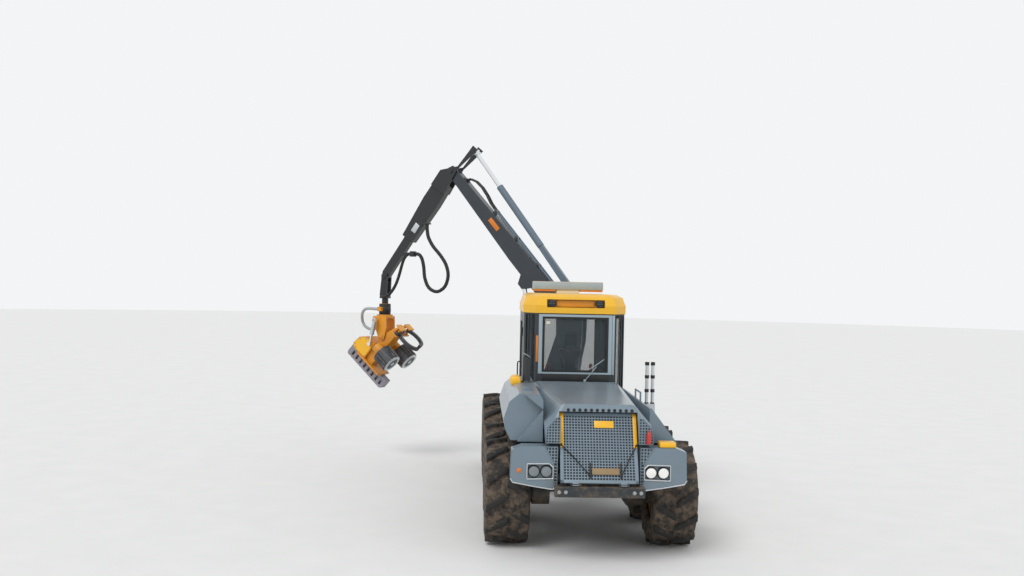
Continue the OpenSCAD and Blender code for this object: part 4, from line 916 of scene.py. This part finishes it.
window_frame, seals, side_seal = (bmesh.new() for _ in range(3))
ring_plate(window_frame, (-560, 2030, 560, 2935), (-502, 2064, 502, 2896), -510, -499)
piece("rear_window_frame", window_frame, PALE, CAB)
ring_plate(seals, (-504, 2060, 504, 2900), (-468, 2092, 468, 2868), -514, -496)
ring_plate(seals, (-514, 1586, 514, 2904), (-484, 1616, 484, 2874), 1276, 1288)
piece("window_seals", seals, BLACK, CAB)
ring_plate(side_seal, (-164, 1736, 1064, 2904), (-134, 1766, 1034, 2874), 771, 783, "x")
piece("side_window_seal", side_seal, BLACK, CAB)
for name, low, high, finish, slot, edge in (
        ("rear_lower_panel", (-490, -512, 1875), (520, -499, 2026), BLACK, "cab_dark", 8),
        ("corner_post_strip", (564, -508, 2030), (598, -499, 2935), PALE, "cab_dark", 3),
        ("corner_strip", (-598, -510, 2210), (-566, -499, 2610), ORANGE, "roof_yellow", 3)):
    one_block(name, low, high, finish, CAB, edge)

# %% Wiper: a motor, an arm and a blade that lies on the glass
wiper = bmesh.new()
turned(wiper, [(0, 0), (0, 22), (14, 20), (18, 0)], (155, -512, 1935), BACKWARD, 16)
tube(wiper, [(155, -524, 1935), (250, -522, 2050), (330, -508, 2150)], 6, 8)
tube(wiper, [(215, -502, 2105), (330, -502, 2178), (445, -502, 2262)], 7, 8)
piece("rear_wiper", wiper, PALE, CAB)

# %% Roof lamps and their guard bars
ROOF_LAMP_Z = 3100
ROOF_LAMPS = (((-365, 365), -479, BACKWARD, 52), ((-430, -150, 150, 430), 1324, FORWARD, 50))
roof_rings, roof_lenses, guards = (bmesh.new() for _ in range(3))
for lamp_xs, lamp_y, axis, radius in ROOF_LAMPS:
    for x in lamp_xs:
        lamp_ring(roof_rings, (x, lamp_y, ROOF_LAMP_Z), axis, radius)
        lens(roof_lenses, (x, lamp_y, ROOF_LAMP_Z), axis, radius)
for z in (ROOF_LAMP_Z - 22, ROOF_LAMP_Z + 22):
    for x in (-438, 298):
        tube(guards, [(x, -496, z), (x, -508, z), (x + 140, -508, z), (x + 140, -496, z)], 5, 8)
one_block("roof_recess_panel", (-290, -440, 3050), (290, -412, 3150), FINISH["head_orange"], CAB,
        4)
piece("roof_lamp_rings", roof_rings, BLACK, CAB)
piece("roof_lamp_lenses", roof_lenses, dark_lens, CAB, 60)
piece("roof_lamp_guards", guards, BLACK, CAB)

# %% The bar on the roof, and a small patch on the window
one_block("roof_bar_skin", (-583, 997, 3297), (583, 1203, 3433), PALE, CAB, 14)
one_block("roof_bar_box", (-190, 1020, 3236), (190, 1170, 3299), CREAM, CAB, 10)
bar_lips = bmesh.new()
for x in (-575, 205):
    block(bar_lips, (x, 1004, 3270), (x + 370, 1190, 3298), 5)
piece("roof_bar_lips", bar_lips, ORANGE, CAB)
one_block("window_patch", (-446, -487, 2785), (-386, -480, 2828), CREAM, CAB, 1)

# %% [markdown]
# ## Seat
#
# The seat shows dark through the rear window. A pad is foam under a tight cover: it crowns in
# the middle and pulls in between its corners. Each starts as a block a little smaller than
# its solid, is filled like a balloon by a short cloth run, and is then smoothed.

# %% Padded seat
SIM_FRAMES, PAD_VOXEL, PAD_INSET, PAD_ROUND, PAD_PRESSURE = 20, 0.012, 14, 30, 4


def pad(name, low, high, lean=0.0):
    """A foam pad inside the box from low to high, leaning back about its lower edge."""
    low, high = Vector(low), Vector(high)
    shrink = Vector((PAD_INSET,) * 3)
    bm = bmesh.new()
    block(bm, low + shrink, high - shrink, PAD_ROUND)
    hinge = shift((0, low.y, low.z))
    tilt = hinge @ about("X", lean) @ hinge.inverted()
    bmesh.ops.transform(bm, matrix=tilt, verts=bm.verts)
    made = piece(name, bm, cloth, CAB, 60)
    remesh = made.modifiers.new("remesh", "REMESH")
    remesh.mode, remesh.voxel_size, remesh.use_smooth_shade = "VOXEL", PAD_VOXEL, True
    puff = made.modifiers.new("puff", "CLOTH")
    puff.settings.use_pressure = True
    puff.settings.uniform_pressure_force = PAD_PRESSURE
    puff.settings.effector_weights.gravity = 0
    for number in range(1, SIM_FRAMES + 1):
        bpy.context.scene.frame_set(number)
    ready = made.evaluated_get(bpy.context.evaluated_depsgraph_get())
    swollen = bpy.data.meshes.new_from_object(ready)
    made.modifiers.clear()
    bpy.context.scene.frame_set(1)
    if not lean:
        box_low, box_high = MACHINE @ low, MACHINE @ high
        for vert in swollen.vertices:
            vert.co = [min(max(c, l), h) for c, l, h in zip(vert.co, box_low, box_high)]
    made.data = swollen
    made.data.polygons.foreach_set("use_smooth", [True] * len(made.data.polygons))
    round_off = made.modifiers.new("smooth", "SUBSURF")
    round_off.levels = round_off.render_levels = 1
    return made


seat_pads = [
    pad("seat_cushion", (-250, 330, 1660), (250, 840, 1800)),
    pad("seat_back", (-230, 330, 1792), (230, 450, 2420), math.radians(10)),
    pad("seat_headrest", (-130, 225, 2400), (130, 335, 2630))]
for made in seat_pads:
    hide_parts("operator_seat")
print("seat pads", len(seat_pads))

# %% Seat foot, armrests and grips
PEDESTAL = [(0, 0), (0, 150), (20, 150), (34, 90), (300, 80), (330, 150), (350, 170), (358, 0)]
base, grips = bmesh.new(), bmesh.new()
turned(base, PEDESTAL, (0, 560, 1302), UPWARD, 32)
for x in (-70, 70):
    tube(base, [(x, 262, 2330), (x, 262, 2420)], 9, 8)
for x in (-318, 318):
    block(base, (x - 62, 380, 1930), (x + 62, 700, 1987), 14)
    tube(base, [(x * 0.93, 400, 1940), (x * 0.72, 390, 1860)], 16, 8)
piece("seat_base", base, BLACK, CAB)
one_block("seat_back_patch", (-85, 228, 2130), (85, 268, 2250), PALE, CAB, 5)
for x in (-345, 345):
    block(grips, (x - 28, 420, 1986), (x + 28, 480, 2120), 12)
piece("armrest_grips", grips, RED, CAB)

# %% [markdown]
# ## Ladder, exhaust and door
#
# Dark knuckles ring the two posts of the folded ladder, so that it reads as tube with joints.
# A rounded cover sits at the foot of the exhaust, whose cut end has a thin bright rim. A grab
# rail with a small plate below it is fixed to the door and swings with it.

# %% Ladder knuckles and exhaust cover
KNUCKLE = [(-22, 22), (-22, 30), (22, 30), (22, 22)]
knuckles = bmesh.new()
for x in (932, 852):
    for z in (1775, 1960, 2150, 2330):
        turned(knuckles, KNUCKLE, (x, -2100, z), UPWARD, 16)
    block(knuckles, (x - 26, -2126, 1735), (x + 26, -2074, 1768), 5)
piece("mast_knuckles", knuckles, BLACK, REAR)
one_block("exhaust_foot_cover", (-1030, -2120, 1985), (-880, -1760, 2125), YELLOW, REAR,
        50)

# %% Exhaust rim, and a grab rail on the door
RIM_WIDE, RIM_NARROW, RIM_STEPS = 58, 52, 24
RAIL = [(-776, 1700), (-806, 1706), (-812, 1740), (-812, 2060), (-806, 2094), (-776, 2100)]
rim, rail = bmesh.new(), bmesh.new()
rim_turn = shift((-800, -1900, 2404)) @ about("Y", math.radians(30))
angles = [k * math.tau / RIM_STEPS for k in range(RIM_STEPS + 1)]
cut_end = [Vector((RIM_WIDE * math.cos(a), RIM_NARROW * math.sin(a), 0)) for a in angles]
tube(rim, [rim_turn @ point for point in cut_end], 4, 6)
piece("exhaust_rim", rim, ZINC, REAR)
tube(rail, [(x, 1004, z) for x, z in RAIL], 11, 10)
block(rail, (-792, 985, 1560), (-776, 1025, 1650), 4)
piece("door_grab_rail", rail, BLACK, "door")

# %% [markdown]
# ## Crane trim
#
# Grey pipes run up the boom's back under their clamps, and two black ones arch on over the
# elbow to a block. A blank orange plate is fixed to the boom's side, and a silver cover to the
# jib. The head carries a bright yellow cover on each side, held by bolts. The rotator wears a
# dark sleeve, and each feed roller ends in a bright rim.

# %% Pipes and plates on boom and jib
PIPE_Y, PIPE_Z = (-48, 48), 192
ELBOW_BEND = [
    (2400, 1, 192), (2520, 1, 198), (2680, 0.95, 232), (2860, 0.9, 250), (3020, 0.85, 232),
    (3130, 0.8, 178), (3170, 0.8, 110)]
pipes, elbow_pipes = bmesh.new(), bmesh.new()
for y in PIPE_Y:
    for start, end in ((480, 1050), (1110, 1680), (1740, 2310)):
        tube(pipes, [(x, y, PIPE_Z) for x in (start, (start + end) / 2, end)], 18.5, 12)
    tube(elbow_pipes, [(x, y * share, z) for x, share, z in ELBOW_BEND], 18, 12)
piece("boom_pipe_sleeves", pipes, FINISH["cylinder_dark"], "main_boom")
block(elbow_pipes, (3120, -70, 84), (3220, 70, 116), 6)
piece("elbow_pipes", elbow_pipes, BLACK, "main_boom")
one_block("boom_blank_plate", (2040, 94, -20), (2300, 100, 62), ORANGE, "main_boom",
    2)
one_block("jib_side_cover", (1175, 84, -52), (1350, 94, 52), FINISH["tilt_silver"], "jib",
    4)

# %% Head covers with their bolts
COVER_OUTLINE = [(-92, 186), (236, 168), (236, 450), (194, 504), (28, 486), (-74, 372)]
COVER_MIDDLE, BOLTS_INWARD = Vector((80, 320)), 0.86
cover, cover_bolts = bmesh.new(), bmesh.new()
for start, end in ((189, 197), (-197, -189)):
    plate(cover, COVER_OUTLINE, start, end, "y", 3)
for corner in COVER_OUTLINE:
    inward = (Vector(corner) - COVER_MIDDLE) * BOLTS_INWARD + COVER_MIDDLE
    for side in (-1, 1):
        bolt(cover_bolts, (inward.x, side * 196, inward.y), (0, side, 0), 9, 8)
piece("head_side_covers", cover, YELLOW, "head")
piece("head_cover_bolts", cover_bolts, ZINC, "head")

# %% A dark sleeve on the rotator and bright rims on the feed rollers
SLEEVE = [(0, 100), (0, 108), (60, 108), (66, 112), (150, 112), (156, 108), (222, 108), (222, 100)]
ROLLER_RIM = [(2, 126), (-5, 128), (-5, 170), (2, 174), (14, 176), (14, 170)]
ROLLER_HUB = [(2, 0), (-9, 0), (-9, 34), (-4, 40), (2, 40)]
sleeve = bmesh.new()
turned(sleeve, SLEEVE, (3560, 0, 2722), UPWARD, 32)
piece("rotator_sleeve", sleeve, BLACK, "rotator")
for side_name, side in (("left", -1), ("right", 1)):
    roller_end = bmesh.new()
    turned(roller_end, ROLLER_RIM, (-160, side * 330, -400), UPWARD, 40)
    turned(roller_end, ROLLER_HUB, (-160, side * 330, -400), UPWARD, 24)
    piece(f"roller_{side_name}_rim", roller_end, FINISH["tilt_silver"],
        "roller_" + side_name)

# %% [markdown]
# ## Floor and light
#
# A plain pale floor carries the machine's shadow. The light is soft and even: a pale sky and
# two wide suns, at a level where a colour shows about as it is written. The camera sees a
# near-white sky, and so do polished metal and glass.

# %% Floor
FLOOR_RADIUS = 90
floor_bm = bmesh.new()
bmesh.ops.create_circle(floor_bm, cap_ends=True, segments=96, radius=FLOOR_RADIUS)
floor_mesh = bpy.data.meshes.new("floor")
floor_bm.to_mesh(floor_mesh)
floor_bm.free()
floor = add_object("floor", floor_mesh)
floor_finish, tree, shader = plain_shader("pale_floor", "#e6e6e3", 0.9)
clouds = noise_of(tree, object_place(tree), 1.5)
feed(tree, shader, Base_Color=blend_colour(tree, clouds, colour("#dedfdd"), colour("#e8e8e6")))
floor_mesh.materials.append(floor_finish)
print("floor is", 2 * FLOOR_RADIUS, "m across")

# %% Sky and suns
SKY_LIGHT, SKY_SEEN = 0.62, 0.92
world = bpy.data.worlds.new("soft_sky")
bpy.context.scene.world = world
world.use_nodes = True
tree = world.node_tree
rays = add_node(tree, "LightPath").outputs
seen = calc("MAXIMUM", tree, rays["Is Camera Ray"], rays["Is Glossy Ray"])
seen = calc("MAXIMUM", tree, seen, rays["Is Transmission Ray"])
feed(tree, tree.nodes["Background"], Color=(0.97, 0.985, 1.0, 1),
     Strength=plus(tree, times(tree, seen, SKY_SEEN - SKY_LIGHT), SKY_LIGHT))
for name, heading, height, softness, strength in (
        ("key_light", -35, 48, 28, 1.5), ("fill_light", 50, 30, 50, 0.45)):
    sun = bpy.data.lights.new(name, "SUN")
    sun.angle, sun.energy = math.radians(softness), strength
    aim = about("Z", math.radians(heading)) @ about("X", math.radians(90 - height))
    add_object(name, sun).matrix_world = aim
    print(name, "stands", height, "degrees high")

# %% Colour view
bpy.context.scene.view_settings.view_transform = "Standard"
